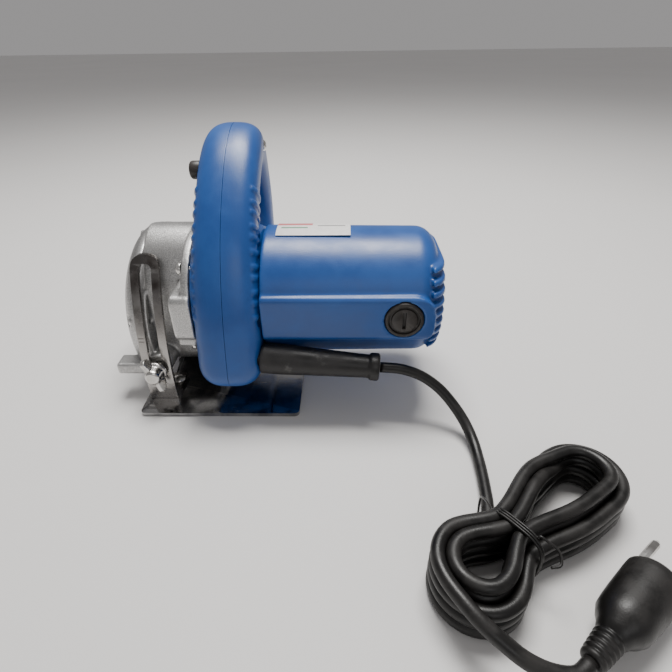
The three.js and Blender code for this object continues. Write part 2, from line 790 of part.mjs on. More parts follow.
// A section with softly squared corners, swept along the handle's line.
function sweptBar(width, depth, line, steps, sides) {
  const section = new THREE.Shape();
  const power = 2 / 2.7;
  for (let i = 0; i < sides; i++) {
    const angle = (2 * Math.PI * i) / sides;
    const a = (depth / 2) * Math.sign(Math.cos(angle)) * Math.abs(Math.cos(angle)) ** power;
    const b = (width / 2) * Math.sign(Math.sin(angle)) * Math.abs(Math.sin(angle)) ** power;
    if (i === 0) section.moveTo(b, a);
    else section.lineTo(b, a);
  }
  section.closePath();
  return new THREE.ExtrudeGeometry(section, { extrudePath: line, steps, bevelEnabled: false });
}

// The bar's lower end is rounded off, and its front leg is slimmer than its rear leg.
const barEndRound = 12;
const barEndShare = 0.5;
const frontLegShare = 0.82;
function shapeBar(geometry, endPoint, endDirection) {
  const place = geometry.attributes.position;
  const point = new THREE.Vector3();
  for (let i = 0; i < place.count; i++) {
    point.fromBufferAttribute(place, i);
    const forward = THREE.MathUtils.smoothstep(point.y, -25, 20);
    point.x = handleMiddleX + (point.x - handleMiddleX) * (1 - (1 - frontLegShare) * forward);
    const beyond = point.clone().sub(endPoint).dot(endDirection) + barEndRound;
    if (beyond > 0 && point.y < -60) {
      const share = Math.max(barEndShare, Math.sqrt(1 - Math.min(1, beyond / barEndRound) ** 2));
      const axisPoint = endPoint.clone().addScaledVector(endDirection, beyond - barEndRound);
      point.sub(axisPoint).multiplyScalar(share).add(axisPoint);
    }
    place.setXYZ(i, point.x, point.y, point.z);
  }
  return geometry;
}
const barStart = handleLine.getPoint(0);
const barDirection = handleLine.getTangent(0).negate();
const bar = shapeBar(sweptBar(handleWidth, handleDepth, handleLine, 30, 18), barStart, barDirection);
const hubRound = 5;
const hub = turnedX(
  [
    [handleLeftX, 0],
    [handleLeftX, handleHubRadius - 0.6],
    [handleLeftX + 1, handleHubRadius],
    [handleRightX - hubRound, handleHubRadius],
    [handleRightX - 1.5, handleHubRadius - 1.6],
    [handleRightX, handleHubRadius - 4.5],
    [handleRightX, 0],
  ],
  motorY, motorZ, 48,
);
const cavityLine = new THREE.CatmullRomCurve3(
  [[-94, 33], [-92, 42], [-84, 72], [-70, 101], [-51, 124], [-29, 142], [-7, 149], [9, 142]].map(
    ([y, z]) => new THREE.Vector3(handleMiddleX, y, z),
  ),
);
const cavity = sweptBar(handleWidth - 2 * handleWall, 2 * handleCavityHalf, cavityLine, 16, 12);

// Trigger, lock button and switch sit at one place along the bar.
const triggerCentre = new THREE.Vector3(handleMiddleX, -39, 134.6);
const triggerTurn = Math.atan2(18, 22);
function atTrigger(geometry) {
  return geometry.rotateX(triggerTurn).translate(triggerCentre.x, triggerCentre.y, triggerCentre.z);
}
const triggerWidth = 15;
const triggerLength = 27;
const triggerSlot = atTrigger(
  box(
    -triggerWidth / 2 - gap - 0.2, triggerWidth / 2 + gap + 0.2,
    -triggerLength / 2 - gap - 0.2, triggerLength / 2 + gap + 0.2, -handleDepth, -2,
  ),
);
const lockY = -32;
const lockZ = 139.5;
const lockRadius = 5.5;
const lockHole = rodX(lockRadius + slip, handleLeftX - 10, 2, lockY, lockZ, 24);

// The cord guard leaves the right half near its lower end.
const guardStart = new THREE.Vector3(19, -92.6, 43);
const guardEnd = new THREE.Vector3(102.5, -96.5, 37.4);
const guardRootRadius = 9.6;
const guardFlangeRadius = 7.9;
const guardAxis = guardEnd.clone().sub(guardStart).normalize();
function alongGuard(geometry) {
  const turn = new THREE.Quaternion().setFromUnitVectors(new THREE.Vector3(1, 0, 0), guardAxis);
  return geometry.applyQuaternion(turn).translate(guardStart.x, guardStart.y, guardStart.z);
}
const guardLength = guardEnd.distanceTo(guardStart);
const guardNeckRadius = 6.2;
const guardWallStart = handleRightX - handleWall - guardStart.x;
const guardWallEnd = handleRightX - guardStart.x;
const guardHole = alongGuard(rodX(guardNeckRadius + slip, 2, guardWallEnd + 12, 0, 0, 24));
const guardMouth = alongGuard(rodX(guardRootRadius + slip, guardWallEnd - 1.2, guardWallEnd + 10, 0, 0, 24));
const guardPocket = alongGuard(rodX(guardFlangeRadius + slip, -gap, guardWallStart - 1, 0, 0, 24));

const handleScrewPlaces = [[-88, 66], [3, 146.5]];
const screwSeatX = handleRightX - 5.5;
const handleScrewTools = handleScrewPlaces.flatMap(([y, z]) => [
  rodX(3.9, screwSeatX, handleRightX + 5, y, z, 16),
  rodX(1.9 + slip, handleLeftX + 3, screwSeatX + 1, y, z, 14),
]);
const neckHole = rodX(motorNeckRadius + slip, handleLeftX - 5, handleRightX + 5, motorY, motorZ, 48);
const wholeHandle = cut(
  join(bar, hub),
  neckHole,
  cut(cavity, rodX(motorNeckRadius + slip + 3, -30, 60, motorY, motorZ, 48)),
  triggerSlot,
  lockHole,
  guardHole,
  guardPocket,
  guardMouth,
  ...handleScrewTools,
  ...flangeScrewPlaces.map(flangeScrewHole),
);
addNode(
  "handle_left",
  common(wholeHandle, box(handleLeftX - 5, handleMiddleX - gap / 2, -130, 60, 0, 200)),
  blue(),
);
addNode(
  "handle_right",
  common(wholeHandle, box(handleMiddleX + gap / 2, handleRightX + 5, -130, 60, 0, 200)),
  blue(),
);
handleScrewPlaces.forEach(([y, z], i) => {
  addNode(`handle_screw_${i + 1}`, screwX(screwSeatX + gap, handleLeftX + 4, y, z, 3.5, 1.9, 2.6), plated());
});

const triggerBlock = plateX(
  roundedShape([
    [-triggerLength / 2, -6, 2],
    [triggerLength / 2, -6, 2],
    [triggerLength / 2, -15, 3],
    [6, -19, 5],
    [-8, -20.5, 6],
    [-triggerLength / 2, -15, 4],
  ]),
  -triggerWidth / 2,
  triggerWidth / 2,
  0.8,
);
addNode("trigger", atTrigger(triggerBlock), blackPlastic());
addNode(
  "switch_body",
  atTrigger(plateX(rectangle(-11, 11, -1.2, 4.4, 2), -8.5, 8.5, 0.8)),
  blackPlastic(),
);
addNode(
  "lock_button",
  turnedX(
    [
      [handleLeftX - 4.6, 0], [handleLeftX - 4.6, lockRadius - 1.2], [handleLeftX - 3.6, lockRadius],
      [handleLeftX + handleWall - 0.5, lockRadius], [handleLeftX + handleWall - 0.5, 0],
    ],
    lockY, lockZ, 24,
  ),
  blackPlastic(),
);
addNode(
  "cord_guard",
  alongGuard(
    turnedX(
      [
        [0, 0], [0, guardFlangeRadius], [guardWallStart - 1.4, guardFlangeRadius],
        [guardWallStart - 1.4, guardNeckRadius], [guardWallEnd - 1.2 + gap, guardNeckRadius],
        [guardWallEnd - 1.2 + gap, guardRootRadius], [guardWallEnd + 12, guardRootRadius - 0.3],
        [guardLength - 6, 7.2], [guardLength - 5.4, 8.5],
        [guardLength - 0.8, 8.5], [guardLength, 7.6], [guardLength, 0],
      ],
      0, 0, 24,
    ),
  ),
  rubber(),
);
// ---- Motor housing and what is inside it --------------------------------------------------------

function housingProfile(extra) {
  const radius = motorRadius + extra;
  const endRadius = radius - motorTaper;
  const endX = motorEndX + extra;
  const profile = [[motorStartX, 0], [motorStartX, radius]];
  for (let i = 0; i <= 4; i++) {
    const angle = (i * Math.PI) / 8;
    profile.push([
      endX - motorEndRound * (1 - Math.sin(angle)),
      endRadius - motorEndRound * (1 - Math.cos(angle)),
    ]);
  }
  profile.push([endX, 0]);
  return profile;
}
const housingShell = turnedX(housingProfile(0), motorY, motorZ, 56);
const ribBlock = turnedX(housingProfile(ribProud), motorY, motorZ, 56);
const ribCentreZ = motorZ + 2;
const ribs = [];
const vents = [];
for (let i = 0; i < ribCount; i++) {
  const z = ribCentreZ + (i - (ribCount - 1) / 2) * ribPitch;
  ribs.push(common(ribBlock, box(motorEndX - 6, motorEndX + 6, -120, 20, z - ribThick / 2, z + ribThick / 2)));
  if (i < ribCount - 1) {
    const ventZ = z + ribPitch / 2;
    const ventHalf = Math.abs(ventZ - motorZ) < 13 ? 0 : 22;
    if (ventHalf > 0) {
      vents.push(box(motorEndX - 9, motorEndX + 6, motorY - ventHalf, motorY + ventHalf, ventZ - 1.5, ventZ + 1.5));
    }
  }
}
const brushBoss = plateX(bossShape, motorStartX, bossEndX + 3, 3);
const neck = rodX(motorNeckRadius, handleLeftX, motorStartX + 2, motorY, motorZ, 48);
const innerRadius = motorRadius - motorWall;
const rearBearingRadius = 9.5;
const motorStepX = motorStartX + 12;
const bearingBossX = 127;
const innerSpace = turnedX(
  [
    [handleLeftX - 1, 0], [handleLeftX - 1, motorNeckRadius - 3], [motorStepX, motorNeckRadius - 3],
    [motorStepX, innerRadius], [motorEndX - 16, innerRadius], [motorEndX - 11, innerRadius - 2], [motorEndX - 5, innerRadius - 7],
    [motorEndX - 5, rearBearingRadius + 3.5], [bearingBossX, rearBearingRadius + 3.5], [bearingBossX, 0],
  ],
  motorY, motorZ, 48,
);
const rearBearingHole = rodX(rearBearingRadius + slip, bearingBossX - 1, bearingBossX + 9, motorY, motorZ);
const brushTunnel = rodY(brushCapRadius - 3, motorY - bossReach - 2, motorY + bossReach + 2, brushX, motorZ);
const capDepth = 5;
const rearCapSeat = rodY(brushCapRadius + slip, motorY - bossReach - 2, motorY - bossReach + capDepth, brushX, motorZ, 32);
const frontCapSeat = rodY(brushCapRadius + slip, motorY + bossReach - capDepth, motorY + bossReach + 2, brushX, motorZ, 32);
const endDisc = rodX(15, motorEndX - 1, motorEndX + ribProud, motorY, motorZ, 32);
addNode(
  "motor_housing",
  cut(
    join(housingShell, brushBoss, neck, ...ribs, endDisc),
    innerSpace,
    rearBearingHole,
    brushTunnel,
    rearCapSeat,
    frontCapSeat,
    ...vents,
    ...flangeScrewPlaces.map(flangeScrewHole),
  ),
  blue(),
);

[["rear", -1], ["front", 1]].forEach(([side, out]) => {
  const face = motorY + out * bossReach;
  const capOuter = face + out * 0.3;
  const capInner = face - out * (capDepth - gap);
  const capDisc = rodY(brushCapRadius, Math.min(capOuter, capInner), Math.max(capOuter, capInner), brushX, motorZ, 32);
  const groove = cut(
    rodY(9, Math.min(capOuter + out, capOuter - out * 0.9), Math.max(capOuter + out, capOuter - out * 0.9), brushX, motorZ),
    rodY(7.6, face - 8, face + 8, brushX, motorZ),
  );
  const coinSlot = box(brushX - 1, brushX + 1, face - 2 + out * 1.4, face + 2 + out * 1.4, motorZ - 5.5, motorZ + 5.5);
  addNode(`brush_cap_${side}`, cut(capDisc, groove, coinSlot), blackPlastic());

  const holderOuter = face - out * (capDepth + 0.2);
  const holderInner = motorY + out * (commutatorRadius + 5);
  const brushInner = motorY + out * (commutatorRadius + gap);
  const brushOuter = motorY + out * (commutatorRadius + 15);
  const holder = box(
    brushX - 5.5, brushX + 5.5, Math.min(holderOuter, holderInner), Math.max(holderOuter, holderInner),
    motorZ - 5, motorZ + 5,
  );
  const bore = box(brushX - 4.1, brushX + 4.1, motorY - 60, motorY + 60, motorZ - 3.6, motorZ + 3.6);
  addNode(`brush_holder_${side}`, cut(holder, bore), brass());
  addNode(
    `carbon_brush_${side}`,
    box(
      brushX - 3.8, brushX + 3.8, Math.min(brushInner, brushOuter), Math.max(brushInner, brushOuter),
      motorZ - 3.3, motorZ + 3.3,
    ),
    carbon(),
  );
});

const statorInner = coreRadius + 1;
const statorNotch = (side) =>
  box(coreStartX - 5, coreEndX + 5, motorY - 15, motorY + 15, motorZ + side * coilOffset - 3.5, motorZ + side * coilOffset + 3.5);
const statorStartX = coreStartX - 2;
const statorEndX = coreEndX + 2;
addNode(
  "stator_core",
  cut(
    tubeX(innerRadius - 0.5, statorInner, statorStartX, statorEndX, motorY, motorZ, 40),
    statorNotch(1),
    statorNotch(-1),
  ),
  darkSteel(),
);
[["upper", 1], ["lower", -1]].forEach(([name, side]) => {
  const z = motorZ + side * coilOffset;
  const loop = cut(
    plateZ(rectangle(statorStartX - 9, statorEndX + 9, motorY - 14.5, motorY + 14.5, 7), z - 3, z + 3, 0.8),
    box(statorStartX - 1, statorEndX + 1, motorY - 10, motorY + 10, z - 5, z + 5),
  );
  addNode(`field_coil_${name}`, cut(loop, box(statorStartX - gap, statorEndX + gap, motorY - 10, motorY + 10, z - 9, z + 9)), copper());
});
addNode("fan_baffle", tubeX(motorNeckRadius - 3.6, 20, 22, 25, motorY, motorZ, 40), blackPlastic());

const bladeCount = 10;
const fanBlades = [];
for (let i = 0; i < bladeCount; i++) {
  fanBlades.push(
    box(8, 18, 9, fanRadius - 0.5, -0.7, 0.7).rotateX((2 * Math.PI * i) / bladeCount).translate(0, motorY, motorZ),
  );
}
addNode(
  "fan",
  cut(
    join(
      rodX(fanRadius, 6, 8.6, motorY, motorZ, 36),
      rodX(10, 6, 19, motorY, motorZ, 24),
      ...fanBlades,
    ),
    rodX(shaftRadius + slip, 0, 30, motorY, motorZ),
  ),
  blackPlastic(),
);
const armatureSlots = [];
for (let i = 0; i < 12; i++) {
  armatureSlots.push(
    box(coreStartX - 5, coreEndX + 5, coreRadius - 5, coreRadius + 2, -1, 1)
      .rotateX((2 * Math.PI * i) / 12)
      .translate(0, motorY, motorZ),
  );
}
addNode(
  "armature_core",
  cut(
    rodX(coreRadius, coreStartX, coreEndX, motorY, motorZ, 36),
    rodX(shaftRadius + slip, coreStartX - 5, coreEndX + 5, motorY, motorZ),
    ...armatureSlots,
  ),
  darkSteel(),
);
addNode(
  "commutator",
  tubeX(commutatorRadius, shaftRadius + slip, brushX - 9, brushX + 8, motorY, motorZ, 32),
  copper(),
);
addNode(
  "armature_shaft",
  rodX(shaftRadius, -38, bearingBossX + 8, motorY, motorZ),
  darkSteel(),
);
bearing(
  "armature_bearing_rear", rearBearingRadius, shaftRadius + slip, bearingBossX + 1, bearingBossX + 8.6, motorY, motorZ,
);

// A blank label wrapped on the top of the motor housing.
const labelStartX = 40;
const labelEndX = 85;
const labelShape = new THREE.Shape();
const labelInner = motorRadius + gap;
const labelOuter = labelInner + 0.4;
const labelFrom = THREE.MathUtils.degToRad(76);
const labelTo = THREE.MathUtils.degToRad(104);
labelShape.absarc(motorY, motorZ, labelOuter, labelFrom, labelTo, false);
labelShape.absarc(motorY, motorZ, labelInner, labelTo, labelFrom, true);
labelShape.closePath();
addNode("rating_label", plateX(labelShape, labelStartX, labelEndX), paper());

// ---- Supply cord: it runs down to the floor, into a tied hank, and ends in a plug ------------------

const cordRadius = cordDiameter / 2;
const restZ = cordRadius + 0.2;
const cordLeave = guardEnd.clone().addScaledVector(guardAxis, gap + 0.4);
const cordRoute = [
  cordLeave.toArray(),
  [116, -96.9, 36.2],
  [128, -98.5, 32.4],
  [139, -102, 25.5],
  [148, -108, 17],
  [154.5, -117, 9.6],
  [157.4, -128, 5.2],
  [157.8, -139, 3.6],
  [157.3, -150, restZ],
  [156.5, -159, restZ],
  [155.5, -167.9, restZ],
];
function cordTube(points, steps) {
  const line = new THREE.CatmullRomCurve3(points.map(([x, y, z]) => new THREE.Vector3(x, y, z)), false, "centripetal");
  const section = new THREE.Shape();
  section.absarc(0, 0, cordRadius, 0, 2 * Math.PI, false);
  return new THREE.ExtrudeGeometry(section, { extrudePath: line, steps, curveSegments: 5, bevelEnabled: false });
}
addNode("cord_run", cordTube(cordRoute, 24), rubber());

// Points in the hank's own frame: along its length, across it, and up.
function inHank(along, across, up) {
  const c = Math.cos(hankTurn);
  const s = Math.sin(hankTurn);
  return [hankCentre[0] + along * c - across * s, hankCentre[1] + along * s + across * c, up];
}
const hankShape = rectangle(-hankLength / 2, hankLength / 2, -hankWidth / 2, hankWidth / 2, hankWidth * 0.49);
addNode(
  "cord_hank",
  plateZ(hankShape, 0.1, hankHeight, 4).rotateZ(hankTurn).translate(hankCentre[0], hankCentre[1], 0),
  rubber(),
);
const plugAcross = -47;
const plugZ = 12.5;
const plugStart = -34;
const tailRoute = [
  inHank(-57.8, -24, 19.4),
  inHank(-54.4, -33, 16.2),
  inHank(-48.6, -41, 13.6),
  inHank(-41.5, -46.4, 12.5),
  inHank(plugStart - gap, plugAcross, plugZ),
];
addNode("cord_tail", cordTube(tailRoute, 9), rubber());
function alongPlug(geometry) {
  const [x, y] = inHank(0, plugAcross, 0);
  return geometry.rotateZ(hankTurn).translate(x, y, plugZ);
}
const pinSpread = 9.5;
const plugEnd = plugStart + 52;
const plugBody = turnedX(
  [
    [plugStart, 0], [plugStart, 5], [plugStart + 15, 6.2], [plugStart + 20, 9.5], [plugStart + 28, 12.2],
    [plugEnd - 1.5, 12.2], [plugEnd, 11], [plugEnd, 0],
  ],
  0, 0, 24,
);
const pinHoles = [-1, 1].map((side) => rodX(2 + slip, plugEnd - 6, plugEnd + 2, side * pinSpread * 0.8, 0, 14));
addNode("plug_body", alongPlug(cut(plugBody, ...pinHoles)), rubber());
[-1, 1].forEach((side, i) => {
  const pin = turnedX(
    [[plugEnd - 5.5, 0], [plugEnd - 5.5, 2], [plugEnd + 17, 2], [plugEnd + 19, 0.8], [plugEnd + 19, 0]],
    side * pinSpread * 0.8, 0, 14,
  );
  addNode(`plug_pin_${i + 1}`, alongPlug(pin), plated());
});

export default trimSaw;
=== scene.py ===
"""Trim saw: a small hand-held circular saw for tile and stone, standing on its base plate.

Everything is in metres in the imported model's frame: +X towards the motor's end, +Y along the cut, +Z up.
The sections follow the saw as it is put together, from the supply cord to the motor.
"""

import json
import math

import bmesh
import bpy
from mathutils import Matrix, Vector

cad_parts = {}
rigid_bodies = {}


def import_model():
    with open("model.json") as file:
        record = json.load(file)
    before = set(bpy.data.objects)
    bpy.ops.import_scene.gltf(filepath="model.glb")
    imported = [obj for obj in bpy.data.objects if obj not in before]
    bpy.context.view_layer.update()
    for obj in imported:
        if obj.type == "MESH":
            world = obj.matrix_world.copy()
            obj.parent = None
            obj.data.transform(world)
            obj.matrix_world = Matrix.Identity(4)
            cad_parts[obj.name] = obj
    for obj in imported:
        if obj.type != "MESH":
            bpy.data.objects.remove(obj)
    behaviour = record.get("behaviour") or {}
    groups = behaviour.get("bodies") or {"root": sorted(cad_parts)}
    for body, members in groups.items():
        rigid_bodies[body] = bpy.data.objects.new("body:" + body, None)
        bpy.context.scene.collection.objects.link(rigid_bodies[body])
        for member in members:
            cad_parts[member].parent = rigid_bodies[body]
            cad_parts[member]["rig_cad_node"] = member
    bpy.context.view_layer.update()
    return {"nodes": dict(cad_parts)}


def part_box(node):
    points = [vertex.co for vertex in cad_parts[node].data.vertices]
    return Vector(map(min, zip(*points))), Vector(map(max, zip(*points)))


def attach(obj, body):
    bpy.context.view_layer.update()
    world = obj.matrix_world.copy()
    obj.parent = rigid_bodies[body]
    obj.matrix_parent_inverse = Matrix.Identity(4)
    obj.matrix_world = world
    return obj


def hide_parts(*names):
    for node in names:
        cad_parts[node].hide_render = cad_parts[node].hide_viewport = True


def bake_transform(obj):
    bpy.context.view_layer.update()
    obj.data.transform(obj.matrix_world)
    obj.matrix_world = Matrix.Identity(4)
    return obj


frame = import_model()
MM = 0.001

# ---- Camera ------------------------------------------------------------------------------------------
# A wide lens above the operator's end of the saw, looking down on the handle and the motor.
# The tilt, turn and lean are in degrees.
eye = Vector((81.8, -327.4, 210.9)) * MM
look_down = math.radians(32.75)
look_left = math.radians(-1.46)
lean = math.radians(-0.81)
forward = Vector((math.sin(look_left) * math.cos(look_down), math.cos(look_left) * math.cos(look_down),
                  -math.sin(look_down)))
level = Vector((math.cos(look_left), -math.sin(look_left), 0))
raised = level.cross(forward)
side = level * math.cos(lean) + raised * math.sin(lean)
upward = raised * math.cos(lean) - level * math.sin(lean)
camera = bpy.data.objects.new("camera", bpy.data.cameras.new("camera"))
camera.matrix_world = Matrix.Translation(eye) @ Matrix((side, upward, -forward)).transposed().to_4x4()
camera.data.lens = 25.25
camera.data.sensor_width = 36
camera.data.shift_x = 0.0012
camera.data.shift_y = -0.0049
camera.data.clip_start = 0.01
camera.data.clip_end = 20
bpy.context.scene.collection.objects.link(camera)
bpy.context.scene.camera = camera

# ---- Supply cord -------------------------------------------------------------------------------------
# A round two-core flex in black rubber, two metres long. It leaves the guard, bends down to the floor,
# and the rest is folded into a hank with a wire tie round its waist, with the plug lying beside it.
CORD_DIAMETER = 6.5 * MM
CORD_RADIUS = CORD_DIAMETER / 2
GUARD_START = Vector((19, -92.6, 43)) * MM
GUARD_END = Vector((102.5, -96.5, 37.4)) * MM
guard_axis = (GUARD_END - GUARD_START).normalized()
cord_exit = GUARD_END + guard_axis * 0.7 * MM
hank_centre = Vector((171, -187, 0)) * MM
hank_turn = 0.66


def in_hank(along, across, up):
    """A point from the hank's own frame, in millimetres: along its length, across it, and up."""
    c = math.cos(hank_turn)
    s = math.sin(hank_turn)
    return hank_centre + Vector((along * c - across * s, along * s + across * c, up)) * MM


def catmull_rom(points, step):
    """A centripetal curve through the points, as points about one step apart."""
    ends = [points[0] * 2 - points[1]] + list(points) + [points[-1] * 2 - points[-2]]
    line = []
    for a, b, c, d in zip(ends, ends[1:], ends[2:], ends[3:]):
        knot = [0.0]
        for p, q in ((a, b), (b, c), (c, d)):
            knot.append(knot[-1] + max((q - p).length, 1e-9) ** 0.5)
        count = max(2, round((c - b).length / step))
        for i in range(count):
            t = knot[1] + (knot[2] - knot[1]) * i / count
            level_1 = [
                p.lerp(q, (t - knot[k]) / (knot[k + 1] - knot[k]))
                for k, (p, q) in enumerate(((a, b), (b, c), (c, d)))
            ]
            level_2 = [
                level_1[k].lerp(level_1[k + 1], (t - knot[k]) / (knot[k + 2] - knot[k])) for k in (0, 1)
            ]
            line.append(level_2[0].lerp(level_2[1], (t - knot[1]) / (knot[2] - knot[1])))
    line.append(points[-1].copy())
    return line


def spaced(line, step):
    """The same line with its points evenly spaced."""
    walked = [0.0]
    for p, q in zip(line, line[1:]):
        walked.append(walked[-1] + (q - p).length)
    count = max(2, round(walked[-1] / step))
    out = []
    k = 0
    for i in range(count + 1):
        at = walked[-1] * i / count
        while k < len(line) - 2 and walked[k + 1] < at:
            k += 1
        span = walked[k + 1] - walked[k]
        out.append(line[k].lerp(line[k + 1], (at - walked[k]) / span if span else 0))
    return out


run_route = [cord_exit] + [
    Vector(p) * MM
    for p in (
        (116, -96.9, 36.2),
        (128, -98.5, 32.4),
        (139, -102, 25.5),
        (148, -108, 17),
        (154.5, -117, 9.6),
        (157.4, -128, 5.2),
        (157.8, -139, 3.6),
        (157.3, -150, 3.45),
        (156.5, -159, 3.45),
    )
]

# The hank has seven turns in four layers, an outer and an inner one in each, drawn in at the wire tie.
LAYER = 6.6
FOLD_CENTRE = 40.1
FOLD_OUTER = 18.6
FOLD_INNER = 12.0
TIE_ALONG = -17
PINCH = 8.8
SHIFT_SHARE = 0.4
SHIFT_LEAD = 0.085
SHIFT_FROM = 0.42
folds = [FOLD_OUTER, FOLD_INNER, FOLD_INNER, FOLD_OUTER, FOLD_OUTER, FOLD_INNER, FOLD_INNER]
floors = [3.5 + LAYER * (turn // 2) for turn in range(len(folds))]


def eased(share):
    share = min(1.0, max(0.0, share))
    return share * share * (3 - 2 * share)


def waist(along):
    """How far the tie draws a leg of the hank in, in millimetres."""
    spread = 26 if along > TIE_ALONG else 13
    return PINCH * math.exp(-(((along - TIE_ALONG) / spread) ** 2))


def leg(start, end, fold, sign, up, fold_from=None, up_from=None, begin=0):
    """One straight leg of the hank. It shifts sideways or climbs from the last turn's place to this one's."""
    count = max(2, round(abs(end - start) / 7))
    fold_from = fold if fold_from is None else fold_from
    up_from = up if up_from is None else up_from
    out = []
    for i in range(count):
        along = start + (end - start) * i / count
        moved = eased((i / count - begin) / SHIFT_SHARE)
        radius = fold_from + (fold - fold_from) * moved
        out.append(in_hank(along, sign * (radius - waist(along)), up_from + (up - up_from) * moved))
    return out


def fold_over(centre, radius, up, far, reach):
    """The half circle where the cord turns back, drawn out a little past its centre."""
    out = []
    first = 0.75 if far else 0.25
    for i in range(7):
        angle = 2 * math.pi * (first + 0.5 * i / 7)
        stretch = 1 + reach * math.sin(math.pi * i / 7)
        out.append(in_hank(centre + radius * stretch * math.cos(angle), radius * math.sin(angle), up))
    return out


hank_route = [in_hank(-0.6, 24.6, 3.45), in_hank(-8, 18.6, 3.45), in_hank(-17, 13.5, 3.45)]
hank_route += leg(-27, -FOLD_CENTRE, FOLD_OUTER, 1, floors[0])
for turn, (fold, up) in enumerate(zip(folds, floors)):
    if turn:
        begin = SHIFT_FROM - SHIFT_LEAD * (turn - 1)
        hank_route += leg(FOLD_CENTRE, -FOLD_CENTRE, fold, 1, up, folds[turn - 1], floors[turn - 1], begin)
    hank_route += fold_over(-FOLD_CENTRE, fold, up, False, 0)
    hank_route += leg(-FOLD_CENTRE, FOLD_CENTRE, fold, -1, up)
    hank_route += fold_over(FOLD_CENTRE, fold, up, True, (0, 0, -0.1, 0.05, 0.05, 0, -0.1)[turn])
hank_route += leg(FOLD_CENTRE, -FOLD_CENTRE, FOLD_OUTER, 1, floors[-1], FOLD_INNER, None, -SHIFT_LEAD)
hank_route += fold_over(-FOLD_CENTRE, FOLD_OUTER, floors[-1], False, 0)[:4]
PLUG_ACROSS = -47
PLUG_UP = 12.5
PLUG_START = -34
hank_route += [
    in_hank(*p)
    for p in (
        (-60, -8, 23.1),
        (-59.8, -16, 21.9),
        (-57.8, -24, 19.4),
        (-54.4, -33, 16.2),
        (-48.6, -41, 13.6),
        (-41.5, -46.4, 12.5),
        (PLUG_START - 0.3, PLUG_ACROSS, PLUG_UP),
    )
]
cord_path = spaced(catmull_rom(run_route + hank_route, 2 * MM), 2.3 * MM)


def mesh_piece(name, verts, faces, smooth=True):
    """A mesh object from plain lists, with its faces turned outwards."""
    mesh = bpy.data.meshes.new(name)
    mesh.from_pydata([tuple(v) for v in verts], [], faces)
    shell = bmesh.new()
    shell.from_mesh(mesh)
    bmesh.ops.remove_doubles(shell, verts=shell.verts, dist=1e-7)
    bmesh.ops.recalc_face_normals(shell, faces=shell.faces)
    shell.to_mesh(mesh)
    shell.free()
    mesh.polygons.foreach_set("use_smooth", [smooth] * len(mesh.polygons))
    piece = bpy.data.objects.new(name, mesh)
    bpy.context.scene.collection.objects.link(piece)
    return piece


def tube(name, line, radius_at, sides):
    """A closed tube round a line; radius_at gives its radius from the distance walked."""
    verts = []
    faces = []
    walked = 0.0
    across = None
    for i, point in enumerate(line):
        ahead = (line[min(i + 1, len(line) - 1)] - line[max(i - 1, 0)]).normalized()
        if across is None:
            across = ahead.orthogonal().normalized()
        across = (across - ahead * across.dot(ahead)).normalized()
        other = ahead.cross(across)
        if i:
            walked += (point - line[i - 1]).length
        for k in range(sides):
            angle = 2 * math.pi * k / sides
            verts.append(point + (across * math.cos(angle) + other * math.sin(angle)) * radius_at(walked))
    for i in range(len(line) - 1):
        for k in range(sides):
            n = (k + 1) % sides
            faces.append((i * sides + k, i * sides + n, (i + 1) * sides + n, (i + 1) * sides + k))
    faces.append(tuple(range(sides - 1, -1, -1)))
    faces.append(tuple(range((len(line) - 1) * sides, len(line) * sides)))
    return mesh_piece(name, verts, faces)


cord = tube("cord", cord_path, lambda walked: CORD_RADIUS, 16)
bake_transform(cord)
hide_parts("cord_run", "cord_hank", "cord_tail")


def finish_group(name, inputs, outputs):
    """An empty shader node group with its sockets, for one kind of surface detail."""
    group = bpy.data.node_groups.new(name, "ShaderNodeTree")
    for label, kind, value in inputs:
        socket = group.interface.new_socket(label, in_out="INPUT", socket_type=kind)
        socket.default_value = value
    for label, kind in outputs:
        group.interface.new_socket(label, in_out="OUTPUT", socket_type=kind)
    return group


class Nodes:
    """Adds nodes to a tree and joins their sockets."""

    def __init__(self, tree):
        self.tree = tree

    def add(self, kind, **settings):
        node = self.tree.nodes.new(kind)
        for key, value in settings.items():
            setattr(node, key, value)
        return node

    def set(self, node, **values):
        for key, value in values.items():
            node.inputs[key.replace("_", " ")].default_value = value
        return node

    def join(self, out, into):
        self.tree.links.new(out, into)

    def maths(self, operation, a, b=0.5, clamp=False):
        node = self.add("ShaderNodeMath", operation=operation, use_clamp=clamp)
        for socket, value in zip(node.inputs, (a, b)):
            if isinstance(value, (int, float)):
                socket.default_value = value
            else:
                self.join(value, socket)
        return node.outputs[0]

    def noise(self, scale, detail=3.0, roughness=0.5, where=None):
        node = self.add("ShaderNodeTexNoise")
        node.inputs["Scale"].default_value = scale
        node.inputs["Detail"].default_value = detail
        node.inputs["Roughness"].default_value = roughness
        if where is not None:
            self.join(where, node.inputs["Vector"])
        return node.outputs["Fac"]

    def ramp(self, value, low, high, to_low=0.0, to_high=1.0):
        node = self.add("ShaderNodeMapRange", interpolation_type="SMOOTHSTEP")
        node.inputs["From Min"].default_value = low
        node.inputs["From Max"].default_value = high
        node.inputs["To Min"].default_value = to_low
        node.inputs["To Max"].default_value = to_high
        self.join(value, node.inputs["Value"])
        return node.outputs["Result"]

    def mix(self, share, first, second):
        node = self.add("ShaderNodeMix", data_type="RGBA")
        for socket, value in ((node.inputs[0], share), (node.inputs[6], first), (node.inputs[7], second)):
            if isinstance(value, (int, float, tuple)):
                socket.default_value = value
            else:
                self.join(value, socket)
        return node.outputs[2]


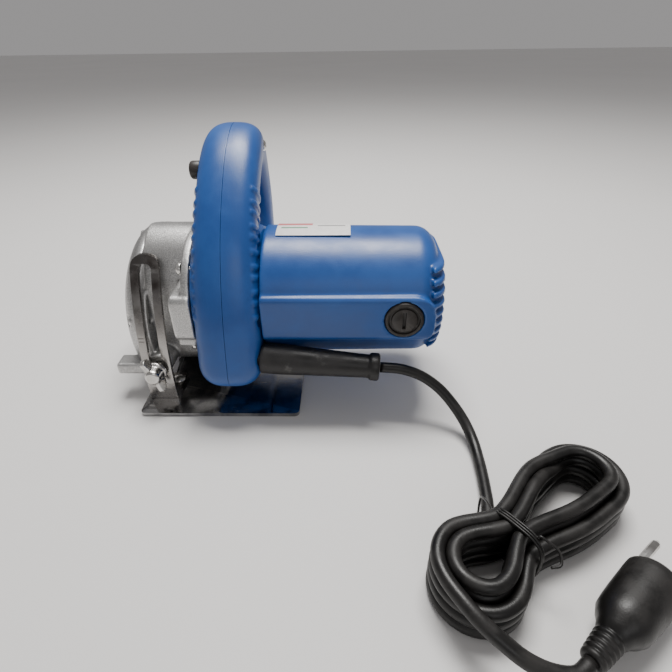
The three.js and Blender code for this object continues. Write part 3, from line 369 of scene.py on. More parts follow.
# Fine grain and handling marks: every finish below uses this group with its own values.
grain = finish_group(
    "grain_and_marks",
    [
        ("Grain scale", "NodeSocketFloat", 900.0),
        ("Mark scale", "NodeSocketFloat", 45.0),
    ],
    [("Grain", "NodeSocketFloat"), ("Marks", "NodeSocketFloat"), ("Scratches", "NodeSocketFloat")],
)
tree = Nodes(grain)
given = tree.add("NodeGroupInput")
sent = tree.add("NodeGroupOutput")
place = tree.add("ShaderNodeTexCoord")
fine = tree.add("ShaderNodeTexNoise")
fine.inputs["Detail"].default_value = 2
tree.join(place.outputs["Object"], fine.inputs["Vector"])
tree.join(given.outputs["Grain scale"], fine.inputs["Scale"])
tree.join(fine.outputs["Fac"], sent.inputs["Grain"])
broad = tree.add("ShaderNodeTexNoise")
broad.inputs["Detail"].default_value = 6
broad.inputs["Roughness"].default_value = 0.62
tree.join(place.outputs["Object"], broad.inputs["Vector"])
tree.join(given.outputs["Mark scale"], broad.inputs["Scale"])
tree.join(tree.ramp(broad.outputs["Fac"], 0.35, 0.72), sent.inputs["Marks"])
stretch = tree.add("ShaderNodeMapping")
stretch.inputs["Scale"].default_value = (1, 14, 3)
stretch.inputs["Rotation"].default_value = (0.4, 0.3, 0.7)
tree.join(place.outputs["Object"], stretch.inputs["Vector"])
hairs = tree.noise(60, 4, 0.7, stretch.outputs["Vector"])
tree.join(tree.ramp(hairs, 0.64, 0.7), sent.inputs["Scratches"])

# Worn edges and hollows: Wear is the outer corners where a surface has been worn by handling, broken up by a
# broad noise; Hollows is the inner corners and recesses, which the finishes use to paint shade into them.
wear_and_shade_group = finish_group(
    "edge_wear_and_hollow_shade",
    [("Reach", "NodeSocketFloat", 0.06), ("Break up", "NodeSocketFloat", 90.0)],
    [("Wear", "NodeSocketFloat"), ("Hollows", "NodeSocketFloat")],
)
tree = Nodes(wear_and_shade_group)
given = tree.add("NodeGroupInput")
sent = tree.add("NodeGroupOutput")
shape = tree.add("ShaderNodeNewGeometry")
place = tree.add("ShaderNodeTexCoord")
patches = tree.add("ShaderNodeTexNoise")
patches.inputs["Detail"].default_value = 5
tree.join(place.outputs["Object"], patches.inputs["Vector"])
tree.join(given.outputs["Break up"], patches.inputs["Scale"])
edge = tree.maths("DIVIDE", tree.maths("SUBTRACT", shape.outputs["Pointiness"], 0.5),
                  given.outputs["Reach"], True)
tree.join(tree.maths("MULTIPLY", edge, tree.ramp(patches.outputs["Fac"], 0.35, 0.6), True),
          sent.inputs["Wear"])
hollow = tree.maths("DIVIDE", tree.maths("SUBTRACT", 0.5, shape.outputs["Pointiness"]),
                    given.outputs["Reach"], True)
tree.join(hollow, sent.inputs["Hollows"])


def finish(name, metallic=0.0, **constants):
    """A new material with its shader and the two shared groups; the section that uses it joins them up."""
    made = bpy.data.materials.new(name)
    made.use_nodes = True
    tree = Nodes(made.node_tree)
    shader = made.node_tree.nodes["Principled BSDF"]
    shader.inputs["Metallic"].default_value = metallic
    for key, value in constants.items():
        shader.inputs[key.replace("_", " ")].default_value = value
    detail = tree.add("ShaderNodeGroup")
    detail.node_tree = grain
    wear_and_shade = tree.add("ShaderNodeGroup")
    wear_and_shade.node_tree = wear_and_shade_group
    return made, tree, shader, detail, wear_and_shade


def relief(tree, shader, height, strength, distance):
    """Raises or sinks a surface by a height, in metres."""
    bump = tree.add("ShaderNodeBump")
    bump.inputs["Strength"].default_value = strength
    bump.inputs["Distance"].default_value = distance
    tree.join(height, bump.inputs["Height"])
    tree.join(bump.outputs["Normal"], shader.inputs["Normal"])


# Cord rubber: satin black with a dusty bloom.
rubber, tree, shader, detail, wear_and_shade = finish("cord_rubber", 0.0, Specular_IOR_Level=0.42)
detail.inputs["Grain scale"].default_value = 1400
detail.inputs["Mark scale"].default_value = 70
tree.join(tree.mix(detail.outputs["Marks"], (0.0055, 0.0052, 0.005, 1), (0.019, 0.0175, 0.0165, 1)),
          shader.inputs["Base Color"])
tree.join(tree.ramp(detail.outputs["Marks"], 0, 1, 0.36, 0.56), shader.inputs["Roughness"])
relief(tree, shader, detail.outputs["Grain"], 0.25, 0.0002)
cord.data.materials.append(rubber)

# The wire tie is a thin coated wire wound twice round the hank's waist, its ends twisted and left open.
TIE_RADIUS = 0.6
tie_route = []
for i in range(57):
    angle = 2 * math.pi * i / 24
    squared = 2 / 3.4
    across = 14.2 * math.copysign(abs(math.cos(angle)) ** squared, math.cos(angle))
    up = 13.9 + 13.5 * math.copysign(abs(math.sin(angle)) ** squared, math.sin(angle))
    tie_route.append(in_hank(TIE_ALONG - 1.6 + 3.2 * i / 57, across, max(up, TIE_RADIUS)))
for along, across, up in ((-15, -9, 27.6), (-13.5, -13, 26.5), (-12, -17.5, 24), (-15, -21, 21.5),
                          (-19, -19, 21)):
    tie_route.append(in_hank(along, across, up))
tie_line = spaced(catmull_rom(tie_route, 1 * MM), 1.2 * MM)
wire_tie = tube("wire_tie", tie_line, lambda walked: TIE_RADIUS * MM, 8)
loose_end = [in_hank(-16, 13.5, 22), in_hank(-12, 19, 19), in_hank(-8, 24, 14), in_hank(-5, 26.5, 8),
             in_hank(-7, 25, 3), in_hank(-10, 22.5, 1)]
tie_end = tube("wire_tie_end", spaced(catmull_rom(loose_end, 1 * MM), 1.2 * MM),
               lambda walked: TIE_RADIUS * MM, 8)
for piece in (wire_tie, tie_end):
    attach(piece, "base")
    piece.data.materials.append(rubber)

# The plug is a moulded rubber body with finger flutes and a ribbed tail, and two round plated pins.


def turned(name, profile, start, axis, sides=64, across=None):
    """A closed turned body: its profile is (distance along, radius) points in metres."""
    axis = axis.normalized()
    across = (across or axis.orthogonal()).normalized()
    other = axis.cross(across)
    verts = []
    faces = []
    rings = []
    for along, radius in profile:
        centre = start + axis * along
        if radius < 1e-7:
            rings.append([len(verts)])
            verts.append(centre)
            continue
        rings.append(list(range(len(verts), len(verts) + sides)))
        for k in range(sides):
            angle = 2 * math.pi * k / sides
            verts.append(centre + (across * math.cos(angle) + other * math.sin(angle)) * radius)
    closed = rings + ([rings[0]] if len(rings[0]) > 1 else [])
    for low, high in zip(closed, closed[1:]):
        for k in range(sides):
            n = (k + 1) % sides
            if len(low) == 1 and len(high) > 1:
                faces.append((low[0], high[n], high[k]))
            elif len(high) == 1 and len(low) > 1:
                faces.append((low[k], low[n], high[0]))
            elif len(low) > 1 and len(high) > 1:
                faces.append((low[k], low[n], high[n], high[k]))
    return mesh_piece(name, verts, faces)


plug_back = in_hank(PLUG_START, PLUG_ACROSS, PLUG_UP)
plug_axis = in_hank(1, 0, 0) - in_hank(0, 0, 0)
plug_profile = [(0, 0), (0, 3.6), (0.4, 4.6), (1.2, 5)]
for rib in range(5):
    at = 2.2 + rib * 2.6
    plug_profile += [(at, 5.1 + rib * 0.2), (at + 0.4, 4.3 + rib * 0.2), (at + 1.2, 4.4 + rib * 0.2),
                     (at + 1.6, 5.3 + rib * 0.2)]
plug_profile += [(17, 7.2), (19.5, 9), (23, 10.6), (28, 11.7), (34, 12.1), (47, 12.1), (50, 11.7),
                 (51.6, 10.6),
                 (52, 9), (52, 0)]
plug = turned("plug", [(a * MM, r * MM) for a, r in plug_profile], plug_back, plug_axis, 72)
for vertex in plug.data.vertices:
    away = vertex.co - plug_back
    along = away.dot(plug_axis.normalized()) / MM
    if 24 < along < 49:
        radial = away - plug_axis.normalized() * away.dot(plug_axis.normalized())
        turn = math.atan2(radial.z, radial.dot(Vector((0, 0, 1)).cross(plug_axis)))
        flute = 0.5 - 0.5 * math.cos(18 * turn)
        vertex.co -= radial * 0.06 * flute * eased((along - 24) / 5) * eased((49 - along) / 4)
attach(plug, "base")
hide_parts("plug_body")
plug.data.materials.append(rubber)

# ---- Cord guard --------------------------------------------------------------------------------------
# A tapered rubber sleeve moulded to the handle's lower end, with a thick ring where the cord comes out.
guard_length = (GUARD_END - GUARD_START).length / MM
guard_profile = [(0, 0), (0, 7.9), (6.2, 7.9), (6.2, 6.2), (11.8, 6.2), (11.8, 8.6), (12.4, 9.5), (14, 9.6)]
guard_profile += [(24, 9.5), (40, 8.7), (60, 7.85), (guard_length - 7.5, 7.2), (guard_length - 6.4, 7.3)]
guard_profile += [(guard_length - 5.7, 8.2), (guard_length - 4.9, 8.5), (guard_length - 1.3, 8.5)]
guard_profile += [(guard_length - 0.5, 8.2), (guard_length, 7.4), (guard_length, 3.5),
                  (guard_length - 1, 0)]
guard = turned("guard_sleeve", [(a * MM, r * MM) for a, r in guard_profile], GUARD_START, guard_axis, 64)
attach(guard, "saw")
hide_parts("cord_guard")
sleeve_rubber, tree, shader, detail, wear_and_shade = finish("sleeve_rubber", 0.0, Specular_IOR_Level=0.4)
detail.inputs["Grain scale"].default_value = 1100
detail.inputs["Mark scale"].default_value = 55
dust = tree.ramp(tree.noise(95, 5, 0.6, tree.add("ShaderNodeTexCoord").outputs["Object"]), 0.6, 0.74)
dull = tree.mix(detail.outputs["Marks"], (0.0085, 0.008, 0.008, 1), (0.028, 0.026, 0.026, 1))
tree.join(tree.mix(tree.maths("MULTIPLY", dust, 0.5), dull, (0.14, 0.135, 0.13, 1)),
          shader.inputs["Base Color"])
tree.join(tree.ramp(detail.outputs["Marks"], 0, 1, 0.38, 0.6), shader.inputs["Roughness"])
relief(tree, shader, detail.outputs["Grain"], 0.3, 0.0003)
guard.data.materials.append(sleeve_rubber)

# ---- Base plate --------------------------------------------------------------------------------------
# A pressed steel plate with a polished finish, its edges rolled over and its front turned up as a lip.
base_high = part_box("base_plate")[1]


def rounded(points, steps=6):
    """An outline from [a, b, corner radius] points, its corners drawn as curves."""
    out = []
    for i, (a, b, *radius) in enumerate(points):
        corner = Vector((a, b))
        before = Vector(points[i - 1][:2]) - corner
        after = Vector(points[(i + 1) % len(points)][:2]) - corner
        reach = min(radius[0] if radius else 0, before.length * 0.49, after.length * 0.49)
        if reach <= 0:
            out.append(corner)
            continue
        first = corner + before.normalized() * reach
        last = corner + after.normalized() * reach
        for k in range(steps + 1):
            t = k / steps
            out.append(first * (1 - t) ** 2 + corner * 2 * t * (1 - t) + last * t**2)
    return out


def rectangle(a0, a1, b0, b1, radius):
    return [(a0, b0, radius), (a1, b0, radius), (a1, b1, radius), (a0, b1, radius)]


def plate(name, outline, low, high, axis="X", steps=6):
    """An outline in millimetres with a thickness along an axis. It is in Y and Z, X and Z, or X and Y."""
    ring = rounded(outline, steps)
    order = {
        "X": lambda a, b, c: (c, a, b),
        "Y": lambda a, b, c: (a, c, b),
        "Z": lambda a, b, c: (a, b, c),
    }[axis]
    verts = [Vector(order(p.x, p.y, level)) * MM for level in (low, high) for p in ring]
    count = len(ring)
    faces = [tuple(range(count)), tuple(range(2 * count - 1, count - 1, -1))]
    faces += [(i, (i + 1) % count, count + (i + 1) % count, count + i) for i in range(count)]
    return mesh_piece(name, verts, faces, smooth=False)


def block(x0, x1, y0, y1, z0, z1):
    return plate("block", [(x0, y0), (x1, y0), (x1, y1), (x0, y1)], z0, z1, "Z")


X_AXIS = Vector((1, 0, 0))
Y_AXIS = Vector((0, 1, 0))
Z_AXIS = Vector((0, 0, 1))


def rod(axis, radius, low, high, a, b, sides=48):
    """A plain round rod along an axis, through the point a, b of the other two directions in their order."""
    start = {"X": (low, a, b), "Y": (a, low, b), "Z": (a, b, low)}[axis]
    along = {"X": X_AXIS, "Y": Y_AXIS, "Z": Z_AXIS}[axis]
    profile = [(0, 0), (0, radius * MM), ((high - low) * MM, radius * MM), ((high - low) * MM, 0)]
    return turned("rod", profile, Vector(start) * MM, along, sides)


def settled(piece):
    """The piece with its modifiers worked into its mesh."""
    bpy.context.view_layer.update()
    made = bpy.data.meshes.new_from_object(piece.evaluated_get(bpy.context.evaluated_depsgraph_get()))
    piece.modifiers.clear()
    piece.data = made
    return piece


def combined(piece, *steps):
    """Joins, cuts or crosses a piece with others, which are used up by it."""
    for operation, tools in steps:
        for tool in tools:
            change = piece.modifiers.new("step", "BOOLEAN")
            change.operation = operation
            change.solver = "MANIFOLD"
            change.object = tool
    settled(piece)
    for _, tools in steps:
        for tool in tools:
            bpy.data.objects.remove(tool)
    return piece


def softened(piece, voxel, passes=4, keep=1.0):
    """Rounds every corner and fillet a little, as casting and moulding do."""
    remesh = piece.modifiers.new("remesh", "REMESH")
    remesh.mode = "VOXEL"
    remesh.voxel_size = voxel * MM
    relax = piece.modifiers.new("relax", "SMOOTH")
    relax.factor = 0.5
    relax.iterations = passes
    if keep < 1:
        fewer = piece.modifiers.new("fewer", "DECIMATE")
        fewer.ratio = keep
    settled(piece)
    piece.data.polygons.foreach_set("use_smooth", [True] * len(piece.data.polygons))
    return piece


def edged(piece, width, segments=3, angle=35):
    """A small round along the sharp edges of a pressed or turned piece, with its shading kept crisp."""
    bevel = piece.modifiers.new("edge", "BEVEL")
    bevel.width = width * MM
    bevel.segments = segments
    bevel.limit_method = "ANGLE"
    bevel.angle_limit = math.radians(angle)
    bevel.harden_normals = False
    if "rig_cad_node" not in piece:
        settled(piece)
    mesh = piece.data
    mesh.polygons.foreach_set("use_smooth", [True] * len(mesh.polygons))
    mesh.set_sharp_from_angle(angle=math.radians(angle))
    return piece


def fitted(piece, name, body, slot, material, *nodes):
    """Names a finished piece, gives it its material, puts it on the body it rides on and hides the imported
    parts it stands for.
    """
    piece.name = name
    piece.data.name = name
    piece.data.materials.clear()
    piece.data.materials.append(material)
    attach(piece, body)
    if nodes:
        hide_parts(*nodes)
    return piece


base_half = base_high.x / MM
base_end = base_high.y / MM
base_thick = 2.5
lip_top = base_high.z / MM
flat = plate("flat", rectangle(-base_half, base_half, -base_end, base_end - 3, 4), 0, base_thick, "Z", 8)
lip_outline = [
    (base_end - 9, 0),
    (base_end, 0, 5),
    (base_end, lip_top, 0.8),
    (base_end - base_thick, lip_top, 0.8),
    (base_end - base_thick, base_thick, 2.5),
    (base_end - 9, base_thick),
]
lip = plate("lip", lip_outline, 5 - base_half, base_half - 5, "X", 8)
rivet_places = [(-45, -68.4), (-35, -68.4), (-22, 67)]
rivet_holes = [rod("Z", 2.9, -1, 6, x, y, 32) for x, y in rivet_places]
base = edged(combined(flat, ("UNION", [lip]), ("DIFFERENCE", rivet_holes)), 0.9, 4)

polished_steel, tree, shader, detail, wear_and_shade = finish("polished_steel", 1.0)
detail.inputs["Grain scale"].default_value = 700
detail.inputs["Mark scale"].default_value = 38
steel_tone = tree.mix(detail.outputs["Marks"], (0.2, 0.2, 0.21, 1), (0.3, 0.3, 0.305, 1))
steel_tone = tree.mix(wear_and_shade.outputs["Wear"], steel_tone, (0.62, 0.61, 0.6, 1))
tree.join(steel_tone, shader.inputs["Base Color"])
smears = tree.ramp(detail.outputs["Marks"], 0, 1, 0.07, 0.2)
tree.join(tree.maths("ADD", smears, tree.maths("MULTIPLY", detail.outputs["Scratches"], 0.12)),
          shader.inputs["Roughness"])
relief(tree, shader, detail.outputs["Scratches"], 0.08, 0.0001)
fitted(base, "base_plate_polished", "base", "base_steel", polished_steel, "base_plate")

# ---- Plated fittings on the base ---------------------------------------------------------------------
# Zinc-plated steel: the folded pivot bracket with its pin and nut, and the domed rivets. The bracket keeps
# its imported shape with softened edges; the round pieces are turned afresh.
plated, tree, shader, detail, wear_and_shade = finish("zinc_plate", 1.0)
detail.inputs["Grain scale"].default_value = 1600
detail.inputs["Mark scale"].default_value = 60
zinc = tree.mix(detail.outputs["Marks"], (0.42, 0.405, 0.385, 1), (0.66, 0.645, 0.62, 1))
zinc = tree.mix(wear_and_shade.outputs["Wear"], zinc, (0.82, 0.81, 0.79, 1))
# Painted shade: the hollows and inner corners are painted a dark brown-grey, standing in for the shade that
# falls there.
zinc = tree.mix(tree.maths("MULTIPLY", wear_and_shade.outputs["Hollows"], 0.6), zinc, (0.12, 0.105, 0.09, 1))
tree.join(zinc, shader.inputs["Base Color"])
zinc_sheen = tree.ramp(detail.outputs["Marks"], 0, 1, 0.16, 0.34)
tree.join(tree.maths("ADD", zinc_sheen, tree.maths("MULTIPLY", detail.outputs["Scratches"], 0.15)),
          shader.inputs["Roughness"])
relief(tree, shader, detail.outputs["Grain"], 0.08, 0.0001)


def keep_node(name, material, edge=0.25):
    """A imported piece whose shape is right: it gets its material and a softened edge."""
    piece = frame["nodes"][name]
    piece.data.materials.clear()
    piece.data.materials.append(material)
    if edge:
        edged(piece, edge, 2)
    return piece


keep_node("pivot_bracket", plated, 0.4)


def rivet_piece(name, x, y, foot, material, node):
    profile = [(0.2, 0), (0.2, 2.6), (foot, 2.6), (foot, 4.3), (foot + 0.4, 4.35), (foot + 1.1, 3.6),
               (foot + 1.6, 2.2)]
    profile += [(foot + 1.8, 0)]
    piece = turned(name, [(a * MM, r * MM) for a, r in profile], Vector((x, y, 0)) * MM, Z_AXIS, 40)
    return fitted(piece, name, "base", "plated_steel", material, node)


rivet_piece("guide_rivet_left", -45, -68.4, 5.6, plated, "guide_rivet_1")
rivet_piece("guide_rivet_right", -35, -68.4, 5.6, plated, "guide_rivet_2")
rivet_piece("bracket_rivet", -22, 67, 5.1, plated, "bracket_rivet_1")

pin_low, pin_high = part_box("pivot_pin")
pin_axis = Vector((pin_low.x, (pin_low.y + pin_high.y) / 2, (pin_low.z + pin_high.z) / 2))
pin_long = (pin_high.x - pin_low.x) / MM
pin_profile = [(0, 0), (0, 5.6), (0.5, 7.2), (1.2, 8), (3.5, 8), (3.5, 5), (pin_long - 0.8, 5),
               (pin_long, 4.2), (pin_long, 0)]
pin = turned("pin", [(a * MM, r * MM) for a, r in pin_profile], pin_axis, X_AXIS, 56)
fitted(pin, "pivot_pin_turned", "base", "plated_steel", plated, "pivot_pin")


def hexagon(y, z, radius, turn=0.0):
    return [
        (y + radius * math.cos(i * math.pi / 3 + turn), z + radius * math.sin(i * math.pi / 3 + turn), 0.3)
        for i in range(6)
    ]


PIVOT_Y = 84
PIVOT_Z = 16
nut_low, nut_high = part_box("pivot_nut")
nut = plate("nut", hexagon(PIVOT_Y, PIVOT_Z, 8.6), nut_low.x / MM, nut_high.x / MM)
nut = combined(
    nut,
    ("DIFFERENCE", [rod("X", 5.3, nut_low.x / MM - 1, nut_high.x / MM + 1, PIVOT_Y, PIVOT_Z)]),
)
fitted(edged(nut, 0.4, 3), "pivot_nut_hex", "base", "plated_steel", plated, "pivot_nut")

# ---- Depth guide -------------------------------------------------------------------------------------
# A slotted strap of plated steel bent to an arc about the front pivot, with a foot riveted to the base.
# Two short marks are stamped beside the slot.
guide_low, guide_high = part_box("depth_guide")
GUIDE_X = (guide_low.x + guide_high.x) / 2 / MM
GUIDE_HALF = (guide_high.x - guide_low.x) / 2 / MM
GUIDE_RADIUS = 168.4
GUIDE_THICK = 2.5
GUIDE_TOP = guide_high.z / MM
SLOT_HALF = 4
FOOT_Z = guide_low.z / MM
strap = turned(
    "strap",
    [
        (0, (GUIDE_RADIUS - GUIDE_THICK / 2) * MM),
        (0, (GUIDE_RADIUS + GUIDE_THICK / 2) * MM),
        (2 * GUIDE_HALF * MM + 2 * MM, (GUIDE_RADIUS + GUIDE_THICK / 2) * MM),
        (2 * GUIDE_HALF * MM + 2 * MM, (GUIDE_RADIUS - GUIDE_THICK / 2) * MM),
    ],
    Vector((GUIDE_X - GUIDE_HALF - 1, PIVOT_Y, PIVOT_Z)) * MM,
    X_AXIS,
    360,
)
strap_face = plate(
    "strap_face",
    [
        (GUIDE_X - GUIDE_HALF, FOOT_Z),
        (GUIDE_X + GUIDE_HALF, FOOT_Z),
        (GUIDE_X + GUIDE_HALF, GUIDE_TOP, GUIDE_HALF * 1.35),
        (GUIDE_X - GUIDE_HALF, GUIDE_TOP, GUIDE_HALF * 1.35),
    ],
    -120,
    -20,
    "Y",
    14,
)
foot = plate(
    "foot",
    rectangle(GUIDE_X - GUIDE_HALF, GUIDE_X + GUIDE_HALF, PIVOT_Y - GUIDE_RADIUS, guide_high.y / MM, 2),
    FOOT_Z,
    FOOT_Z + GUIDE_THICK,
    "Z",
)
slot_cutter = plate("slot", rectangle(GUIDE_X - SLOT_HALF, GUIDE_X + SLOT_HALF, 13, 93, 3.95), -120, -20,
                    "Y", 12)
marks = [block(GUIDE_X - 8.2, GUIDE_X - 4.8, -100, -60, z, z + 0.8) for z in (46.4, 48.6)]
for mark in marks:
    under_marks = rod("X", GUIDE_RADIUS + GUIDE_THICK / 2 - 0.35, -60, -20, PIVOT_Y, PIVOT_Z, 360)
    combined(mark, ("DIFFERENCE", [under_marks]))
holes = [rod("Z", 2.9, 0, 12, x, y, 32) for x, y in rivet_places[:2]]
guide = combined(
    strap,
    ("INTERSECT", [strap_face]),
    ("UNION", [foot]),
    ("DIFFERENCE", [slot_cutter] + holes + marks),
)
strap_steel, tree, shader, detail, wear_and_shade = finish("strap_steel_painted_reflection", 1.0)
detail.inputs["Grain scale"].default_value = 1400
detail.inputs["Mark scale"].default_value = 70
# Painted reflection: the strap is painted dark reddish brown high up and light grey lower down, standing in
# for the reflections along its curve; the marks break the change up.
height_up = tree.add("ShaderNodeSeparateXYZ")
tree.join(tree.add("ShaderNodeTexCoord").outputs["Object"], height_up.inputs[0])
painted_reflection_and_marks = tree.maths("ADD", tree.ramp(height_up.outputs[2], 0.088, 0.035),
                    tree.maths("MULTIPLY", detail.outputs["Marks"], 0.2), True)
strap_tone_and_painted_reflection = tree.mix(painted_reflection_and_marks, (0.055, 0.046, 0.042, 1), (0.36, 0.345, 0.33, 1))
strap_tone_and_painted_reflection = tree.mix(tree.maths("MULTIPLY", wear_and_shade.outputs["Wear"], 0.35), strap_tone_and_painted_reflection, (0.62, 0.61, 0.6, 1))
tree.join(strap_tone_and_painted_reflection, shader.inputs["Base Color"])
tree.join(tree.ramp(detail.outputs["Marks"], 0, 1, 0.2, 0.36), shader.inputs["Roughness"])
relief(tree, shader, detail.outputs["Grain"], 0.08, 0.0001)
fitted(edged(guide, 0.45, 3, 50), "depth_guide_strap", "base", "plated_steel", strap_steel, "depth_guide")

# ---- Wing bolt ---------------------------------------------------------------------------------------
# A cast and plated thumb screw through the guide's slot: a round hub with two ears blended into it.
wing_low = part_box("wing_bolt")[0]
WING_Z = 27
WING_TILT = -0.38
hub = turned(
    "hub",
    [(a * MM, r * MM) for a, r in ((0, 0), (0, 3.6), (0.7, 4.6), (2, 5.1), (6.5, 5.6), (7.2, 7), (9, 7.1),
                                   (9, 3), (32.5, 3), (33, 0))],
    Vector((GUIDE_X, wing_low.y / MM, WING_Z)) * MM,
    Y_AXIS,
    48,
)
wing_y = wing_low.y / MM
ear_outline = [
    (wing_y, -12.5, 4.2),
    (wing_y + 7.3, -12.5, 4.6),
    (wing_y + 8.8, -4.5, 2),
    (wing_y + 8.8, 4.5, 2),
    (wing_y + 7.3, 12.5, 4.6),
    (wing_y, 12.5, 4.2),
    (wing_y + 1.8, 3.5, 3),
    (wing_y + 1.8, -3.5, 3),
]
ears = plate("ears", ear_outline, -1.5, 1.5, "X", 8)
ears.data.transform(Matrix.Rotation(WING_TILT, 4, "Y"))
ears.data.transform(Matrix.Translation(Vector((GUIDE_X, 0, WING_Z)) * MM))
wing_bolt = softened(combined(hub, ("UNION", [ears])), 0.34, 7)
fitted(wing_bolt, "wing_bolt_cast", "wing_bolt", "plated_steel", plated, "wing_bolt")

# ---- Gear housing ------------------------------------------------------------------------------------
# The sand-cast aluminium body between the handle and the blade case: it holds the gears, carries the
# pivot arm at the front, and takes the wing bolt in a boss at the back. Every corner has a casting radius.
housing_low, housing_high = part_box("gear_housing")
SPINDLE_Y = -20
SPINDLE_Z = 42
MOTOR_Y = -50
MOTOR_Z = 67.6
HOUSING_RIGHT = housing_high.x / MM
HOUSING_LEFT = -44
CASE_RADIUS = 57.5
CASE_BACK = housing_low.x / MM
CASE_FLOOR = 16
ARM_X = -22
CHAMBER_RADIUS = 34.1
housing_outline = [
    (-66, 22, 8),
    (-68, 50, 10),
    (-67, 79, 6),
    (-56, 99, 12),
    (-40, 109, 12),
    (-18, 102.5, 14),
    (8, 89, 14),
    (26, 66, 14),
    (32, 40, 12),
    (26, 18, 8),
    (10, 8, 8),
    (-34, 7.5, 8),
    (-52, 15, 8),
]
arm_outline = [
    (16, 18, 4),
    (PIVOT_Y - 8, PIVOT_Z - 9.6, 8),
    (PIVOT_Y + 4, PIVOT_Z - 9.6, 4),
    (PIVOT_Y + 9.5, PIVOT_Z, 7),
    (PIVOT_Y + 4, PIVOT_Z + 10, 6),
    (50, 40, 14),
    (20, 66, 6),
]
WING_BOSS_END = -81.1
housing_parts = [
    rod("X", 41, HOUSING_RIGHT - 5, HOUSING_RIGHT, MOTOR_Y, MOTOR_Z, 120),
    combined(
        rod("X", CASE_RADIUS, CASE_BACK, HOUSING_LEFT + 1, SPINDLE_Y, SPINDLE_Z, 160),
        ("DIFFERENCE", [block(-90, -30, -120, 80, -60, CASE_FLOOR)]),
    ),
    plate("arm", arm_outline, ARM_X - 8, ARM_X + 8),
    rod("Y", 8, WING_BOSS_END, -60, GUIDE_X, WING_Z, 64),
    plate("boss", rectangle(MOTOR_Y - 42, MOTOR_Y + 42, MOTOR_Z - 14.7, MOTOR_Z + 14.7, 5), -21,
          HOUSING_RIGHT),
    plate("lip", [(-88, 46, 3), (-88, 53.5), (-60, 53.5), (-60, 46)], -21, HOUSING_RIGHT - 2),
]
housing_cuts = [
    rod("X", CHAMBER_RADIUS, HOUSING_LEFT - 1, -20, SPINDLE_Y, SPINDLE_Z, 96),
    rod("X", 15, HOUSING_LEFT + 3, -20, MOTOR_Y, MOTOR_Z, 64),
    rod("X", CHAMBER_RADIUS + 3.9, CASE_BACK - 1, HOUSING_LEFT, SPINDLE_Y, SPINDLE_Z, 128),
    rod("X", 11.3, -21, HOUSING_RIGHT + 1, MOTOR_Y, MOTOR_Z, 64),
    rod("X", 9.3, -21, -11.7, SPINDLE_Y, SPINDLE_Z, 64),
    rod("Y", 3.3, WING_BOSS_END - 2, -62, GUIDE_X, WING_Z, 40),
    rod("X", 5.3, ARM_X - 20, ARM_X + 20, PIVOT_Y, PIVOT_Z, 48),
]
flange_screws = [
    (MOTOR_Y + 37.3 * math.cos(math.radians(a)), MOTOR_Z + 37.3 * math.sin(math.radians(a)))
    for a in (135, 225)
]
housing_cuts += [rod("X", 2.3, HOUSING_RIGHT - 8, HOUSING_RIGHT + 2, y, z, 24) for y, z in flange_screws]
housing_cuts += [rod("X", 4.3, HOUSING_RIGHT - 12, HOUSING_RIGHT - 5, y, z, 40) for y, z in flange_screws]
CASE_SCREW_RING = CASE_RADIUS - 5.2
case_screws = [
    (SPINDLE_Y + CASE_SCREW_RING * math.cos(math.radians(a)),
     SPINDLE_Z + CASE_SCREW_RING * math.sin(math.radians(a)))
    for a in (28, 95, 166)
]
housing_cuts += [rod("X", 2, CASE_BACK - 2, HOUSING_LEFT + 6, y, z, 24) for y, z in case_screws]
housing = plate("housing", housing_outline, HOUSING_LEFT, HOUSING_RIGHT - 2)
housing = combined(housing, ("UNION", housing_parts), ("DIFFERENCE", housing_cuts))
softened(housing, 0.85, 5)

# Sand-cast alloy: a speckled skin with shallow pits, brighter where it has been tumbled.
cast, tree, shader, detail, wear_and_shade = finish("sand_cast_alloy", 1.0)
place = tree.add("ShaderNodeTexCoord").outputs["Object"]
sand = tree.noise(1500, 4, 0.7, place)
flow = tree.noise(38, 4, 0.6, place)
cells = tree.add("ShaderNodeTexVoronoi")
cells.inputs["Scale"].default_value = 1700
tree.join(place, cells.inputs["Vector"])
speck = tree.ramp(cells.outputs["Distance"], 0.12, 0.62)
body = tree.mix(tree.ramp(sand, 0.36, 0.66), (0.3, 0.3, 0.3, 1), (0.64, 0.635, 0.625, 1))
body = tree.mix(tree.maths("MULTIPLY", tree.ramp(flow, 0.42, 0.66), 0.45), body, (0.34, 0.335, 0.33, 1))
body = tree.mix(tree.maths("MULTIPLY", wear_and_shade.outputs["Wear"], 0.8), body, (0.83, 0.825, 0.81, 1))
# Painted shade: the hollows are painted near black and made less metallic, standing in for the shade that
# falls in them.
body = tree.mix(tree.maths("MULTIPLY", wear_and_shade.outputs["Hollows"], 0.75), body, (0.1, 0.098, 0.095, 1))
tree.join(body, shader.inputs["Base Color"])
tree.join(tree.ramp(sand, 0.3, 0.7, 0.5, 0.36), shader.inputs["Roughness"])
tree.join(tree.maths("SUBTRACT", 1.0, tree.maths("MULTIPLY", wear_and_shade.outputs["Hollows"], 0.3)),
          shader.inputs["Metallic"])
height = tree.maths("ADD", tree.maths("MULTIPLY", sand, 0.7), tree.maths("MULTIPLY", speck, 0.5))
relief(tree, shader, height, 0.4, 0.00022)
fitted(housing, "gear_housing_cast", "saw", "cast_alloy", cast, "gear_housing")

